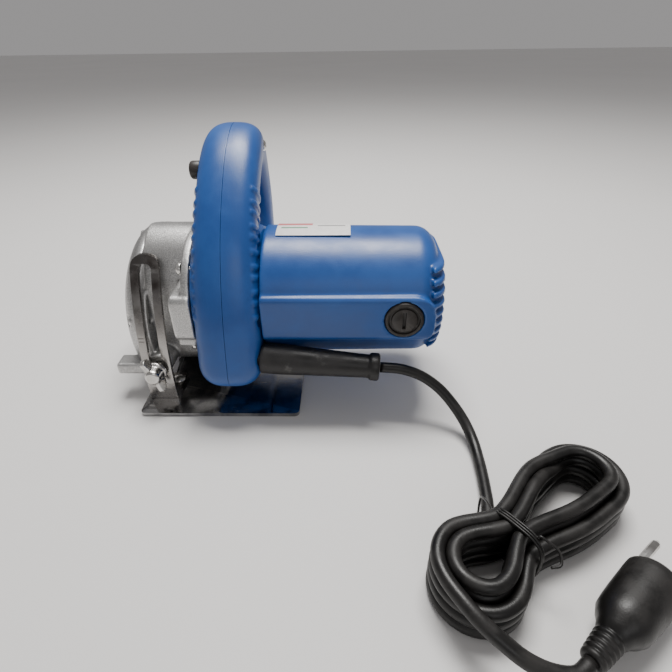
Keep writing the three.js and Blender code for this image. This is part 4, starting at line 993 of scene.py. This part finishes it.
# ---- Blade case --------------------------------------------------------------------------------------
# A domed casting over the top half of the blade, screwed to the gear housing's back plate. Its rim is
# rolled, its face is open round the arbor, and a solid lobe closes it at the rear.
RIM_X = CASE_BACK - 0.3
CASE_LEFT = -65.4
case_outer = [(0, 57.5), (-2, 57.45), (-4, 57.1), (-6, 56.1), (-8, 54.5), (-10, 52), (-12, 48.7),
              (-13.6, 44.6),
              (-14.9, 40), (-15.9, 35), (-16.7, 30), (CASE_LEFT - RIM_X, 25.5), (CASE_LEFT - RIM_X, 21)]
case_inner = [(CASE_LEFT - RIM_X + 2.2, 21), (-14.8, 29), (-13.6, 34.5), (-12.2, 39.8), (-10.4, 45),
              (-8, 49.6),
              (-5.4, 52.8), (-2.4, 54.7), (0, 55.3)]
case_ring = [(a * MM, r * MM) for a, r in case_outer + case_inner]
case = turned("case", case_ring, Vector((RIM_X, SPINDLE_Y, SPINDLE_Z)) * MM, X_AXIS, 192)
case_ear = plate("ear", [(-79, 17, 4), (-66, 16.4, 3), (-66, 27, 3), (-78, 27, 4)], CASE_LEFT - 5,
                 RIM_X - 3, steps=8)
case_ear = combined(
    case_ear,
    ("DIFFERENCE", [rod("X", CASE_RADIUS - 6.7, RIM_X - 9, RIM_X + 1, SPINDLE_Y, SPINDLE_Z, 120)]),
)
lobe = [(CASE_LEFT - 6, 25.3, 1.5), (RIM_X, 25.3), (RIM_X, 15.8), (CASE_LEFT - 5, 15.8, 8.5)]
case_ear = combined(case_ear, ("INTERSECT", [plate("lobe", lobe, -90, -55, "Y", 12)]))
lugs = [rod("X", 4.2, RIM_X - 8, RIM_X, y, z, 40) for y, z in case_screws]
case_cuts = [rod("X", 2, CASE_LEFT - 5, RIM_X + 2, y, z, 24) for y, z in case_screws]
case_cuts += [rod("X", 3.7, CASE_LEFT - 5, RIM_X - 6, y, z, 40) for y, z in case_screws]
case = combined(
    case,
    ("DIFFERENCE", [block(-90, -30, -120, 80, -60, CASE_FLOOR)]),
    ("UNION", lugs + [case_ear]),
    ("DIFFERENCE", case_cuts),
)
softened(case, 0.62, 5)
fitted(case, "blade_case_cast", "saw", "cast_alloy", cast, "blade_case")

# ---- Screws, retainer and arbor ----------------------------------------------------------------------
# Cross-slotted pan screws hold the castings. The arbor carries two flanges and a hexagon bolt, which
# clamp the blade; the saw is shown without one.


def pan_screw(name, x, y, z, head, height, side, node, body="saw", length=8):
    """A cross-slotted screw whose head stands on x and faces along side, +1 or -1."""
    axis = X_AXIS * side
    profile = [(-length, 0), (-length, head * 0.45), (0, head * 0.45), (0, head), (height * 0.45, head)]
    profile += [(height * 0.8, head * 0.82), (height, head * 0.45), (height, 0)]
    piece = turned("screw", [(a * MM, r * MM) for a, r in profile], Vector((x, y, z)) * MM, axis, 36)
    top = x + side * height
    low = min(top - side * height * 0.55, top + side)
    high = max(top - side * height * 0.55, top + side)
    thin = head * 0.13
    reach = head * 0.58
    slots = [block(low, high, y - thin, y + thin, z - reach, z + reach)]
    slots.append(block(low, high, y - reach, y + reach, z - thin, z + thin))
    piece = edged(combined(piece, ("DIFFERENCE", slots)), 0.12, 2, 40)
    return fitted(piece, name, body, "plated_steel", plated, node)


for i, (y, z) in enumerate(case_screws):
    pan_screw(f"case_screw_pan_{i + 1}", RIM_X - 6.3, y, z, 3.2, 2.4, -1, f"case_screw_{i + 1}")
for i, (y, z) in enumerate(flange_screws):
    pan_screw(f"flange_screw_pan_{i + 1}", HOUSING_RIGHT - 5.3, y, z, 3.9, 3.4, -1, f"flange_screw_{i + 1}")
retainer_ring = CHAMBER_RADIUS - 1.6
for i, angle in enumerate((20, 140, 260)):
    y = SPINDLE_Y + retainer_ring * math.cos(math.radians(angle))
    z = SPINDLE_Z + retainer_ring * math.sin(math.radians(angle))
    pan_screw(f"retainer_screw_pan_{i + 1}", CASE_BACK - 0.3, y, z, 2.8, 1.6, -1,
              f"retainer_screw_{i + 1}", length=4)

keep_node("bearing_retainer", cast, 0.3)
for node in ("spindle_bearing", "spindle_bush", "armature_bearing_front", "armature_bearing_rear"):
    keep_node(node, plated, 0.2)

machined, tree, shader, detail, wear_and_shade = finish("machined_steel", 1.0)
detail.inputs["Grain scale"].default_value = 1800
tree.join(tree.mix(detail.outputs["Marks"], (0.1, 0.1, 0.105, 1), (0.26, 0.255, 0.25, 1)),
          shader.inputs["Base Color"])
tree.join(tree.ramp(detail.outputs["Marks"], 0, 1, 0.24, 0.44), shader.inputs["Roughness"])
relief(tree, shader, detail.outputs["Grain"], 0.15, 0.0001)
for node in ("spindle", "spindle_gear", "pinion", "armature_shaft", "armature_core", "stator_core"):
    keep_node(node, machined, 0.15)

arbor_centre = Vector((0, SPINDLE_Y, SPINDLE_Z)) * MM
inner_profile = [(1.8, 6.3), (1.8, 10), (0, 14.6), (-0.6, 17.2), (-1.2, 18), (-3.6, 18), (-4, 17.6),
                 (-4, 14), (-3.4, 13.6),
                 (-3.4, 6.3)]
inner = turned("inner", [((a - 51) * MM, r * MM) for a, r in inner_profile], arbor_centre, X_AXIS, 96)
fitted(inner, "inner_flange_turned", "arbor", "plated_steel", plated, "inner_flange")
outer_profile = [(0, 4.3), (0, 17.6), (-0.4, 18), (-1.4, 18), (-2, 17.4), (-3.2, 13), (-3.6, 12),
                 (-3.6, 4.3)]
outer = turned("outer", [((a - 55.3) * MM, r * MM) for a, r in outer_profile], arbor_centre, X_AXIS, 96)
fitted(outer, "outer_flange_turned", "arbor", "plated_steel", plated, "outer_flange")
bolt = plate("bolt", hexagon(SPINDLE_Y, SPINDLE_Z, 7.4, 0.2), -64.2, -59.2)
bolt = combined(bolt, ("UNION", [rod("X", 4, -61, -39, SPINDLE_Y, SPINDLE_Z, 40)]))
fitted(edged(bolt, 0.5, 3), "clamp_bolt_hex", "arbor", "plated_steel", plated, "clamp_bolt")

# ---- Handle ------------------------------------------------------------------------------------------
# Two moulded nylon halves, screwed together on the handle's middle plane. One bar runs up from the cord
# guard, over the top and down into the collar round the motor's neck, with grip ribs on both sides.
HANDLE_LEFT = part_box("handle_left")[0].x / MM
HANDLE_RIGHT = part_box("handle_right")[1].x / MM
HANDLE_MIDDLE = (HANDLE_LEFT + HANDLE_RIGHT) / 2
HANDLE_WIDTH = HANDLE_RIGHT - HANDLE_LEFT
HANDLE_DEPTH = 27
NECK_RADIUS = 33
SECTION_POWER = 2 / 2.7
FRONT_LEG_SHARE = 0.82
UPPER_SLIMMING = 0.06
END_ROUND_WIDE = 15
END_ROUND_DEEP = 10
handle_line = spaced(
    catmull_rom(
        [
            Vector((HANDLE_MIDDLE, y, z)) * MM
            for y, z in (
                (-95.5, 25), (-92, 42), (-84, 72), (-70, 101), (-51, 124), (-29, 142), (-7, 149), (11, 141),
                (20, 121), (20, 99), (12, 79), (-3, 64), (-24, 58),
            )
        ],
        2 * MM,
    ),
    2 * MM,
)


def swept_bar(name, line, width, depth, rounded_end, sides=64):
    """A bar with softly squared corners along the handle's line; its first end can be rounded off."""
    verts = []
    faces = []
    walked = 0.0
    for i, point in enumerate(line):
        if i:
            walked += (point - line[i - 1]).length / MM
        ahead = (line[min(i + 1, len(line) - 1)] - line[max(i - 1, 0)]).normalized()
        deep = X_AXIS.cross(ahead).normalized()
        y = point.y / MM
        wide_share = 1 - (1 - FRONT_LEG_SHARE) * eased((y + 25) / 45)
        wide_share -= UPPER_SLIMMING * eased((point.z / MM - 70) / 60)
        deep_share = 1.0
        if rounded_end:
            near_wide = max(0.0, 1 - walked / END_ROUND_WIDE)
            near_deep = max(0.0, 1 - walked / END_ROUND_DEEP)
            wide_share -= (END_ROUND_WIDE - 2) * 2 / width * (1 - math.sqrt(1 - near_wide**2))
            deep_share -= (END_ROUND_DEEP - 1) * 2 / depth * (1 - math.sqrt(1 - near_deep**2))
        for k in range(sides):
            angle = 2 * math.pi * k / sides
            a = depth / 2 * math.copysign(abs(math.cos(angle)) ** SECTION_POWER,
                                          math.cos(angle)) * deep_share
            b = width / 2 * math.copysign(abs(math.sin(angle)) ** SECTION_POWER,
                                          math.sin(angle)) * wide_share
            verts.append(point + deep * a * MM + X_AXIS * b * MM)
    for i in range(len(line) - 1):
        for k in range(sides):
            n = (k + 1) % sides
            faces.append((i * sides + k, i * sides + n, (i + 1) * sides + n, (i + 1) * sides + k))
    faces.append(tuple(range(sides)))
    faces.append(tuple(range(len(line) * sides - 1, (len(line) - 1) * sides - 1, -1)))
    return mesh_piece(name, verts, faces, smooth=False)


def handle_solid():
    """The whole handle before it is split, with its grip ribs."""
    bar = swept_bar("bar", handle_line, HANDLE_WIDTH - 0.9, HANDLE_DEPTH, True)
    hub_profile = [(0, 0), (0, 40.9), (1, 41.5), (HANDLE_WIDTH - 5, 41.5), (HANDLE_WIDTH - 1.5, 39.9)]
    hub_profile += [(HANDLE_WIDTH, 37), (HANDLE_WIDTH, 0)]
    hub = turned(
        "hub", [(a * MM, r * MM) for a, r in hub_profile], Vector((HANDLE_LEFT, MOTOR_Y, MOTOR_Z)) * MM,
        X_AXIS, 120
    )
    proud = swept_bar("proud", handle_line, HANDLE_WIDTH + 0.9, HANDLE_DEPTH + 1, True)
    slabs = []
    walked = 0.0
    next_rib = RIB_FIRST
    for before, point in zip(handle_line, handle_line[1:]):
        walked += (point - before).length / MM
        if walked < next_rib or next_rib > RIB_FIRST + RIB_PITCH * (RIB_COUNT - 0.5):
            continue
        next_rib += RIB_PITCH
        ahead = (point - before).normalized()
        deep = X_AXIS.cross(ahead).normalized()
        turn = Matrix((X_AXIS, deep, ahead)).transposed().to_4x4()
        for side in (-1, 1):
            low, high = sorted((side * 12.5, side * 24))
            slab = block(low, high, -9.5, 9.5, -1.4, 1.4)
            slab.data.transform(Matrix.Translation(point) @ turn)
            slabs.append(slab)
    ribs = combined(slabs[0], ("UNION", slabs[1:]), ("INTERSECT", [proud]))
    return combined(bar, ("UNION", [hub, ribs]))


RIB_FIRST = 43
RIB_PITCH = 7.2
RIB_COUNT = 11
TRIGGER_PLACE = Vector((HANDLE_MIDDLE, -39, 134.6)) * MM
TRIGGER_TURN = math.atan2(18, 22)
LOCK_Y = -32
LOCK_Z = 139.5


def at_trigger(piece):
    piece.data.transform(Matrix.Rotation(TRIGGER_TURN, 4, "X"))
    piece.data.transform(Matrix.Translation(TRIGGER_PLACE))
    return piece


def along_guard(radius, low, high):
    profile = [(0, 0), (0, radius * MM), ((high - low) * MM, radius * MM), ((high - low) * MM, 0)]
    return turned("bore", profile, GUARD_START + guard_axis * low * MM, guard_axis, 64)


def handle_cuts():
    """What is cut out of the handle: the neck, the inside, the trigger's slot, the bores and screw seats."""
    cavity_line = [p for p in handle_line if p.z / MM > 33
                   and (p.y / MM < 9 and p.z / MM > 34 or p.y / MM < -60)]
    cavity_line = [p for p in cavity_line if not (p.y / MM > -30 and p.z / MM < 120)]
    cavity = swept_bar("cavity", cavity_line, HANDLE_WIDTH - 11, 18, False, 40)
    cavity = combined(cavity, ("DIFFERENCE", [rod("X", NECK_RADIUS + 3.5, -30, 60, MOTOR_Y, MOTOR_Z, 96)]))
    wall_start = HANDLE_RIGHT - 5 - GUARD_START.x / MM
    wall_end = HANDLE_RIGHT - GUARD_START.x / MM
    cuts = [
        rod("X", NECK_RADIUS + 0.2, HANDLE_LEFT - 5, HANDLE_RIGHT + 5, MOTOR_Y, MOTOR_Z, 128),
        cavity,
        at_trigger(block(-8, 8, -14, 14, -HANDLE_DEPTH, -2)),
        rod("X", 5.8, HANDLE_LEFT - 10, 2, LOCK_Y, LOCK_Z, 48),
        along_guard(6.5, 2, wall_end + 12),
        along_guard(9.9, wall_end - 1.2, wall_end + 10),
        along_guard(8.2, -0.3, wall_start - 1),
    ]
    for y, z in HANDLE_SCREWS:
        cuts.append(rod("X", 4.1, HANDLE_RIGHT - 5.5, HANDLE_RIGHT + 5, y, z, 40))
        cuts.append(rod("X", 2.2, HANDLE_LEFT + 9, HANDLE_RIGHT - 4.5, y, z, 24))
    return cuts


HANDLE_SCREWS = [(-88, 66), (3, 146.5)]
whole = softened(combined(handle_solid(), ("DIFFERENCE", handle_cuts())), 0.72, 4)

# Moulded nylon: a deep blue with a fine satin texture, a little lighter where hands have polished it.
nylon, tree, shader, detail, wear_and_shade = finish("blue_nylon", 0.0, Specular_IOR_Level=0.5, Coat_Roughness=0.3)
detail.inputs["Grain scale"].default_value = 1500
detail.inputs["Mark scale"].default_value = 30
wear_and_shade.inputs["Reach"].default_value = 0.09
blue = tree.mix(detail.outputs["Marks"], (0.008, 0.062, 0.255, 1), (0.013, 0.085, 0.32, 1))
blue = tree.mix(tree.maths("MULTIPLY", wear_and_shade.outputs["Wear"], 0.45), blue, (0.05, 0.17, 0.46, 1))
# Painted shade: the hollows and inner corners are painted a darker navy of the same blue, standing in for the
# shade that falls there.
blue = tree.mix(tree.maths("MULTIPLY", wear_and_shade.outputs["Hollows"], 0.55), blue, (0.004, 0.022, 0.1, 1))
tree.join(blue, shader.inputs["Base Color"])
satin = tree.ramp(detail.outputs["Marks"], 0, 1, 0.33, 0.43)
tree.join(tree.maths("SUBTRACT", satin, tree.maths("MULTIPLY", wear_and_shade.outputs["Wear"], 0.06)),
          shader.inputs["Roughness"])
tree.join(tree.ramp(detail.outputs["Marks"], 0, 1, 0.18, 0.08), shader.inputs["Coat Weight"])
relief(tree, shader, detail.outputs["Grain"], 0.22, 0.00025)

halves = []
for low, high in ((HANDLE_LEFT - 5, HANDLE_MIDDLE - 0.15), (HANDLE_MIDDLE + 0.15, HANDLE_RIGHT + 5)):
    half = bpy.data.objects.new("half", whole.data.copy())
    bpy.context.scene.collection.objects.link(half)
    combined(half, ("INTERSECT", [block(low, high, -140, 80, -10, 220)]))
    halves.append(edged(half, 0.12, 2, 60))
bpy.data.objects.remove(whole)
fitted(halves[0], "handle_shell_left", "saw", "blue_housing", nylon, "handle_left")
fitted(halves[1], "handle_shell_right", "saw", "blue_housing", nylon, "handle_right")
for i, (y, z) in enumerate(HANDLE_SCREWS):
    pan_screw(f"handle_screw_pan_{i + 1}", HANDLE_RIGHT - 5.2, y, z, 3.5, 2.6, 1, f"handle_screw_{i + 1}")

# ---- Trigger and lock button -------------------------------------------------------------------------
# Satin black mouldings: a curved trigger under the bar, and a round button in the left half to lock it.
moulded, tree, shader, detail, wear_and_shade = finish("black_moulding", 0.0, Specular_IOR_Level=0.45)
detail.inputs["Grain scale"].default_value = 1300
detail.inputs["Mark scale"].default_value = 80
dark = tree.mix(detail.outputs["Marks"], (0.011, 0.009, 0.008, 1), (0.026, 0.021, 0.018, 1))
dark = tree.mix(tree.maths("MULTIPLY", wear_and_shade.outputs["Wear"], 0.5), dark, (0.075, 0.066, 0.06, 1))
tree.join(dark, shader.inputs["Base Color"])
tree.join(tree.ramp(detail.outputs["Marks"], 0, 1, 0.3, 0.48), shader.inputs["Roughness"])
relief(tree, shader, detail.outputs["Grain"], 0.2, 0.0002)

trigger_outline = [(-13.5, -6, 2), (13.5, -6, 2), (13.5, -15, 3), (6, -19, 5), (-8, -20.5, 6),
                   (-13.5, -15, 4)]
trigger = plate("trigger", trigger_outline, -7.5, 7.5, "X", 10)
trigger = at_trigger(edged(trigger, 1.4, 4, 40))
fitted(trigger, "trigger_lever", "trigger", "black_plastic", moulded, "trigger")
keep_node("switch_body", moulded, 0.3)
lock_profile = [(0, 0), (0, 3.4), (0.3, 4.5), (0.9, 5.2), (1.8, 5.5), (10.1, 5.5), (10.1, 0)]
lock = turned(
    "lock", [(a * MM, r * MM) for a, r in lock_profile], Vector((HANDLE_LEFT - 4.6, LOCK_Y, LOCK_Z)) * MM,
    X_AXIS, 64
)
fitted(lock, "lock_button_round", "lock_button", "black_plastic", moulded, "lock_button")

# ---- Motor housing -----------------------------------------------------------------------------------
# One moulded nylon barrel with a flat boss for the brushes, and raised bars between the air vents at its
# end. Its neck passes through the handle's collar and screws to the gear housing.
MOTOR_RADIUS = 41
MOTOR_END_RADIUS = 40
MOTOR_START = 32
MOTOR_END = 138.2
END_ROUND = 13
RIB_PROUD = 2.8
BOSS_REACH = 42
BOSS_HALF = 14.7
BOSS_END = 128.5
BRUSH_X = 116.3
VENT_PITCH = 6.2


def barrel(extra, sides=160):
    """The housing's outside: a slightly tapered drum with a well-rounded end."""
    radius = MOTOR_RADIUS + extra
    end_radius = MOTOR_END_RADIUS + extra
    end = MOTOR_END + extra
    profile = [(MOTOR_START, 0), (MOTOR_START, radius - 0.8), (MOTOR_START + 0.8, radius)]
    for i in range(13):
        angle = math.pi / 2 * i / 12
        profile.append((end - END_ROUND * (1 - math.sin(angle)),
                        end_radius - END_ROUND * (1 - math.cos(angle))))
    profile.append((end, 0))
    return turned(
        "barrel", [(a * MM, r * MM) for a, r in profile], Vector((0, MOTOR_Y, MOTOR_Z)) * MM, X_AXIS, sides
    )


bars = []
vents = []
for i in range(9):
    z = MOTOR_Z + 2 + (i - 4) * VENT_PITCH
    slab = block(MOTOR_END - 6, MOTOR_END + 6, -120, 20, z - 1.5, z + 1.5)
    bars.append(combined(barrel(RIB_PROUD, 96), ("INTERSECT", [slab])))
    vent_z = z + VENT_PITCH / 2
    if i < 8 and abs(vent_z - MOTOR_Z) >= 13:
        vents.append(
            block(MOTOR_END - 9, MOTOR_END + 6, MOTOR_Y - 22, MOTOR_Y + 22, vent_z - 1.5, vent_z + 1.5)
        )
boss_outline = rectangle(MOTOR_Y - BOSS_REACH, MOTOR_Y + BOSS_REACH, MOTOR_Z - BOSS_HALF,
                         MOTOR_Z + BOSS_HALF, 4)
boss = plate("boss", boss_outline, MOTOR_START, BOSS_END + 6)
boss_side = plate("boss_side", [
    (MOTOR_START - 1, MOTOR_Z - BOSS_HALF),
    (BOSS_END + 6, MOTOR_Z - BOSS_HALF, 9),
    (BOSS_END + 6, MOTOR_Z + BOSS_HALF, 26),
    (MOTOR_START - 1, MOTOR_Z + BOSS_HALF),
], MOTOR_Y - 60, MOTOR_Y + 60, "Y", 12)
boss = combined(boss, ("INTERSECT", [boss_side]))
inner = MOTOR_RADIUS - 4
inside_profile = [(HANDLE_LEFT - 1, 0), (HANDLE_LEFT - 1, 30), (44, 30), (44, inner),
                  (MOTOR_END - 16, inner),
                  (MOTOR_END - 11, inner - 2), (MOTOR_END - 5, inner - 7), (MOTOR_END - 5, 13), (127, 13),
                  (127, 0)]
motor_cuts = [
    turned("inside", [(a * MM, r * MM) for a, r in inside_profile], Vector((0, MOTOR_Y, MOTOR_Z)) * MM,
           X_AXIS, 128),
    rod("X", 9.8, 126, 136, MOTOR_Y, MOTOR_Z),
    rod("Y", 8.5, MOTOR_Y - 44, MOTOR_Y + 44, BRUSH_X, MOTOR_Z, 64),
    rod("Y", 11.8, MOTOR_Y - 44, MOTOR_Y - BOSS_REACH + 5, BRUSH_X, MOTOR_Z, 96),
    rod("Y", 11.8, MOTOR_Y + BOSS_REACH - 5, MOTOR_Y + 44, BRUSH_X, MOTOR_Z, 96),
] + vents
motor_cuts += [rod("X", 2.3, HOUSING_RIGHT - 8, 43, y, z, 24) for y, z in flange_screws]
motor = combined(
    barrel(0),
    ("UNION", [boss, rod("X", NECK_RADIUS, HANDLE_LEFT, MOTOR_START + 2, MOTOR_Y, MOTOR_Z, 128)] + bars
     + [rod("X", 15, MOTOR_END - 1, MOTOR_END + RIB_PROUD, MOTOR_Y, MOTOR_Z, 96)]),
    ("DIFFERENCE", motor_cuts),
)
softened(motor, 0.85, 5)
fitted(motor, "motor_barrel", "saw", "blue_housing", nylon, "motor_housing")

# The brush caps are black moulded screw caps with a ring groove and a coin slot, set flush in the boss.
for side, out in (("rear", -1), ("front", 1)):
    face = MOTOR_Y + out * BOSS_REACH
    axis = Y_AXIS * out
    cap_profile = [(-4.7, 0), (-4.7, 11.5), (-0.5, 11.5), (0.3, 10.9), (0.3, 9.4), (-0.8, 9), (-0.8, 7.8),
                   (0.1, 7.4),
                   (0.2, 0)]
    cap = turned("cap", [(a * MM, r * MM) for a, r in cap_profile], Vector((BRUSH_X, face, MOTOR_Z)) * MM,
                 axis, 72)
    low = min(face - out * 2.2, face + out)
    high = max(face - out * 2.2, face + out)
    coin_slot = block(BRUSH_X - 1, BRUSH_X + 1, low, high, MOTOR_Z - 5.6, MOTOR_Z + 5.6)
    cap = combined(cap, ("DIFFERENCE", [coin_slot]))
    cap = edged(cap, 0.25, 2, 40)
    fitted(cap, f"brush_cap_{side}_turned", "saw", "black_plastic", moulded, f"brush_cap_{side}")

# The rating label is a printed film stuck on top of the barrel; here it only has plain coloured bands.
label_low, label_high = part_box("rating_label")
film, tree, shader, detail, wear_and_shade = finish("printed_film", 0.0)
detail.inputs["Grain scale"].default_value = 600
detail.inputs["Mark scale"].default_value = 300
at = tree.add("ShaderNodeSeparateXYZ")
tree.join(tree.add("ShaderNodeTexCoord").outputs["Object"], at.inputs[0])


def band(out, low, high):
    """1 between two places along a direction, in metres."""
    above = tree.maths("GREATER_THAN", out, low)
    return tree.maths("MULTIPLY", above, tree.maths("LESS_THAN", out, high))


label_long = label_high.x - label_low.x
label_wide = label_high.y - label_low.y
red_band = tree.maths("MULTIPLY", band(at.outputs[0], label_low.x, label_low.x + label_long * 0.48),
                      band(at.outputs[1], label_high.y - label_wide * 0.3, label_high.y))
green_band = tree.maths("MULTIPLY", band(at.outputs[0], label_low.x + label_long * 0.06,
                                         label_low.x + label_long * 0.42),
                        band(at.outputs[1], label_low.y + label_wide * 0.42,
                             label_low.y + label_wide * 0.52))
grey_band = tree.maths("MULTIPLY", band(at.outputs[0], label_low.x + label_long * 0.55,
                                        label_low.x + label_long * 0.93),
                       band(at.outputs[1], label_low.y + label_wide * 0.6, label_low.y + label_wide * 0.68))
paper = tree.mix(detail.outputs["Marks"], (0.78, 0.77, 0.75, 1), (0.86, 0.855, 0.84, 1))
paper = tree.mix(red_band, paper, (0.62, 0.16, 0.17, 1))
paper = tree.mix(green_band, paper, (0.16, 0.3, 0.2, 1))
paper = tree.mix(grey_band, paper, (0.2, 0.19, 0.2, 1))
tree.join(paper, shader.inputs["Base Color"])
tree.join(tree.ramp(detail.outputs["Grain"], 0.3, 0.7, 0.28, 0.4), shader.inputs["Roughness"])
count = 24
verts = []
faces = []
for x in (label_low.x, label_high.x):
    for k in range(count + 1):
        angle = math.radians(76 + 28 * k / count)
        for radius in (41.3, 41.7):
            out_y = MOTOR_Y + radius * math.cos(angle)
            out_z = MOTOR_Z + radius * math.sin(angle)
            verts.append(Vector((x, out_y * MM, out_z * MM)))
row = 2 * (count + 1)
for k in range(count):
    a = 2 * k
    faces += [(a, a + 2, row + a + 2, row + a), (a + 1, row + a + 1, row + a + 3, a + 3)]
    faces += [(a, a + 1, a + 3, a + 2), (row + a, row + a + 2, row + a + 3, row + a + 1)]
faces += [(0, row, row + 1, 1), (2 * count, 2 * count + 1, row + 2 * count + 1, row + 2 * count)]
label = mesh_piece("label", verts, faces)
fitted(edged(label, 0.1, 2, 60), "rating_label_film", "saw", "label_paper", film, "rating_label")

# ---- Inside the motor --------------------------------------------------------------------------------
# The windings, commutator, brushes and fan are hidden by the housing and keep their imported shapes.
winding, tree, shader, detail, wear_and_shade = finish("enamelled_copper", 0.9)
tree.join(tree.mix(detail.outputs["Marks"], (0.32, 0.11, 0.045, 1), (0.6, 0.25, 0.1, 1)),
          shader.inputs["Base Color"])
tree.join(tree.ramp(detail.outputs["Marks"], 0, 1, 0.25, 0.42), shader.inputs["Roughness"])
strands = tree.add("ShaderNodeTexWave")
strands.inputs["Scale"].default_value = 420
tree.join(tree.add("ShaderNodeTexCoord").outputs["Object"], strands.inputs["Vector"])
relief(tree, shader, strands.outputs["Fac"], 0.4, 0.0003)
for node in ("field_coil_upper", "field_coil_lower", "commutator"):
    keep_node(node, winding, 0.2)
pressed_brass, tree, shader, detail, wear_and_shade = finish("pressed_brass", 1.0)
tree.join(tree.mix(detail.outputs["Marks"], (0.5, 0.32, 0.12, 1), (0.75, 0.52, 0.24, 1)),
          shader.inputs["Base Color"])
tree.join(tree.ramp(detail.outputs["Marks"], 0, 1, 0.22, 0.4), shader.inputs["Roughness"])
brush_carbon, tree, shader, detail, wear_and_shade = finish("brush_carbon", 0.0)
tree.join(tree.mix(detail.outputs["Grain"], (0.012, 0.012, 0.013, 1), (0.05, 0.05, 0.052, 1)),
          shader.inputs["Base Color"])
tree.join(tree.ramp(detail.outputs["Marks"], 0, 1, 0.5, 0.75), shader.inputs["Roughness"])
for side in ("rear", "front"):
    keep_node(f"brush_holder_{side}", pressed_brass, 0.2)
    keep_node(f"carbon_brush_{side}", brush_carbon, 0.15)
for node in ("fan", "fan_baffle"):
    keep_node(node, moulded, 0.2)
for node in ("plug_pin_1", "plug_pin_2"):
    keep_node(node, plated, 0.15)

# ---- Floor and light ---------------------------------------------------------------------------------
# A pale bench, with a wide soft light above and a weaker one in front.
floor_material = bpy.data.materials.new("pale_floor")
floor_material.use_nodes = True
floor_tree = Nodes(floor_material.node_tree)
floor_shader = floor_material.node_tree.nodes["Principled BSDF"]
floor_tone = floor_tree.noise(2.2, 3, 0.5, floor_tree.add("ShaderNodeTexCoord").outputs["Object"])
floor_tree.join(floor_tree.mix(floor_tone, (0.7, 0.69, 0.68, 1), (0.76, 0.75, 0.74, 1)),
                floor_shader.inputs["Base Color"])
floor_shader.inputs["Roughness"].default_value = 0.7
floor = mesh_piece("floor", [(-6, -6, 0), (6, -6, 0), (6, 6, 0), (-6, 6, 0)], [(0, 1, 2, 3)], smooth=False)
floor.location.z = -0.0002
floor.data.materials.append(floor_material)

world = bpy.data.worlds.new("studio")
world.use_nodes = True
world.node_tree.nodes["Background"].inputs["Color"].default_value = (0.82, 0.8, 0.8, 1)
world.node_tree.nodes["Background"].inputs["Strength"].default_value = 0.4
bpy.context.scene.world = world


def soft_light(name, place, target, size, power, tint=(1, 1, 1)):
    lamp = bpy.data.lights.new(name, "AREA")
    lamp.shape = "RECTANGLE"
    lamp.size = size[0]
    lamp.size_y = size[1]
    lamp.energy = power
    lamp.color = tint
    holder = bpy.data.objects.new(name, lamp)
    holder.location = place
    holder.rotation_mode = "QUATERNION"
    holder.rotation_quaternion = (Vector(target) - Vector(place)).to_track_quat("-Z", "Y")
    bpy.context.scene.collection.objects.link(holder)
    return holder


soft_light("overhead", (0.1, 0.22, 1.1), (0.03, -0.03, 0.05), (0.6, 0.4), 19, (1, 0.985, 0.96))
soft_light("front_fill", (0.25, -1.2, 0.75), (0.03, -0.03, 0.07), (0.7, 0.5), 1.6)
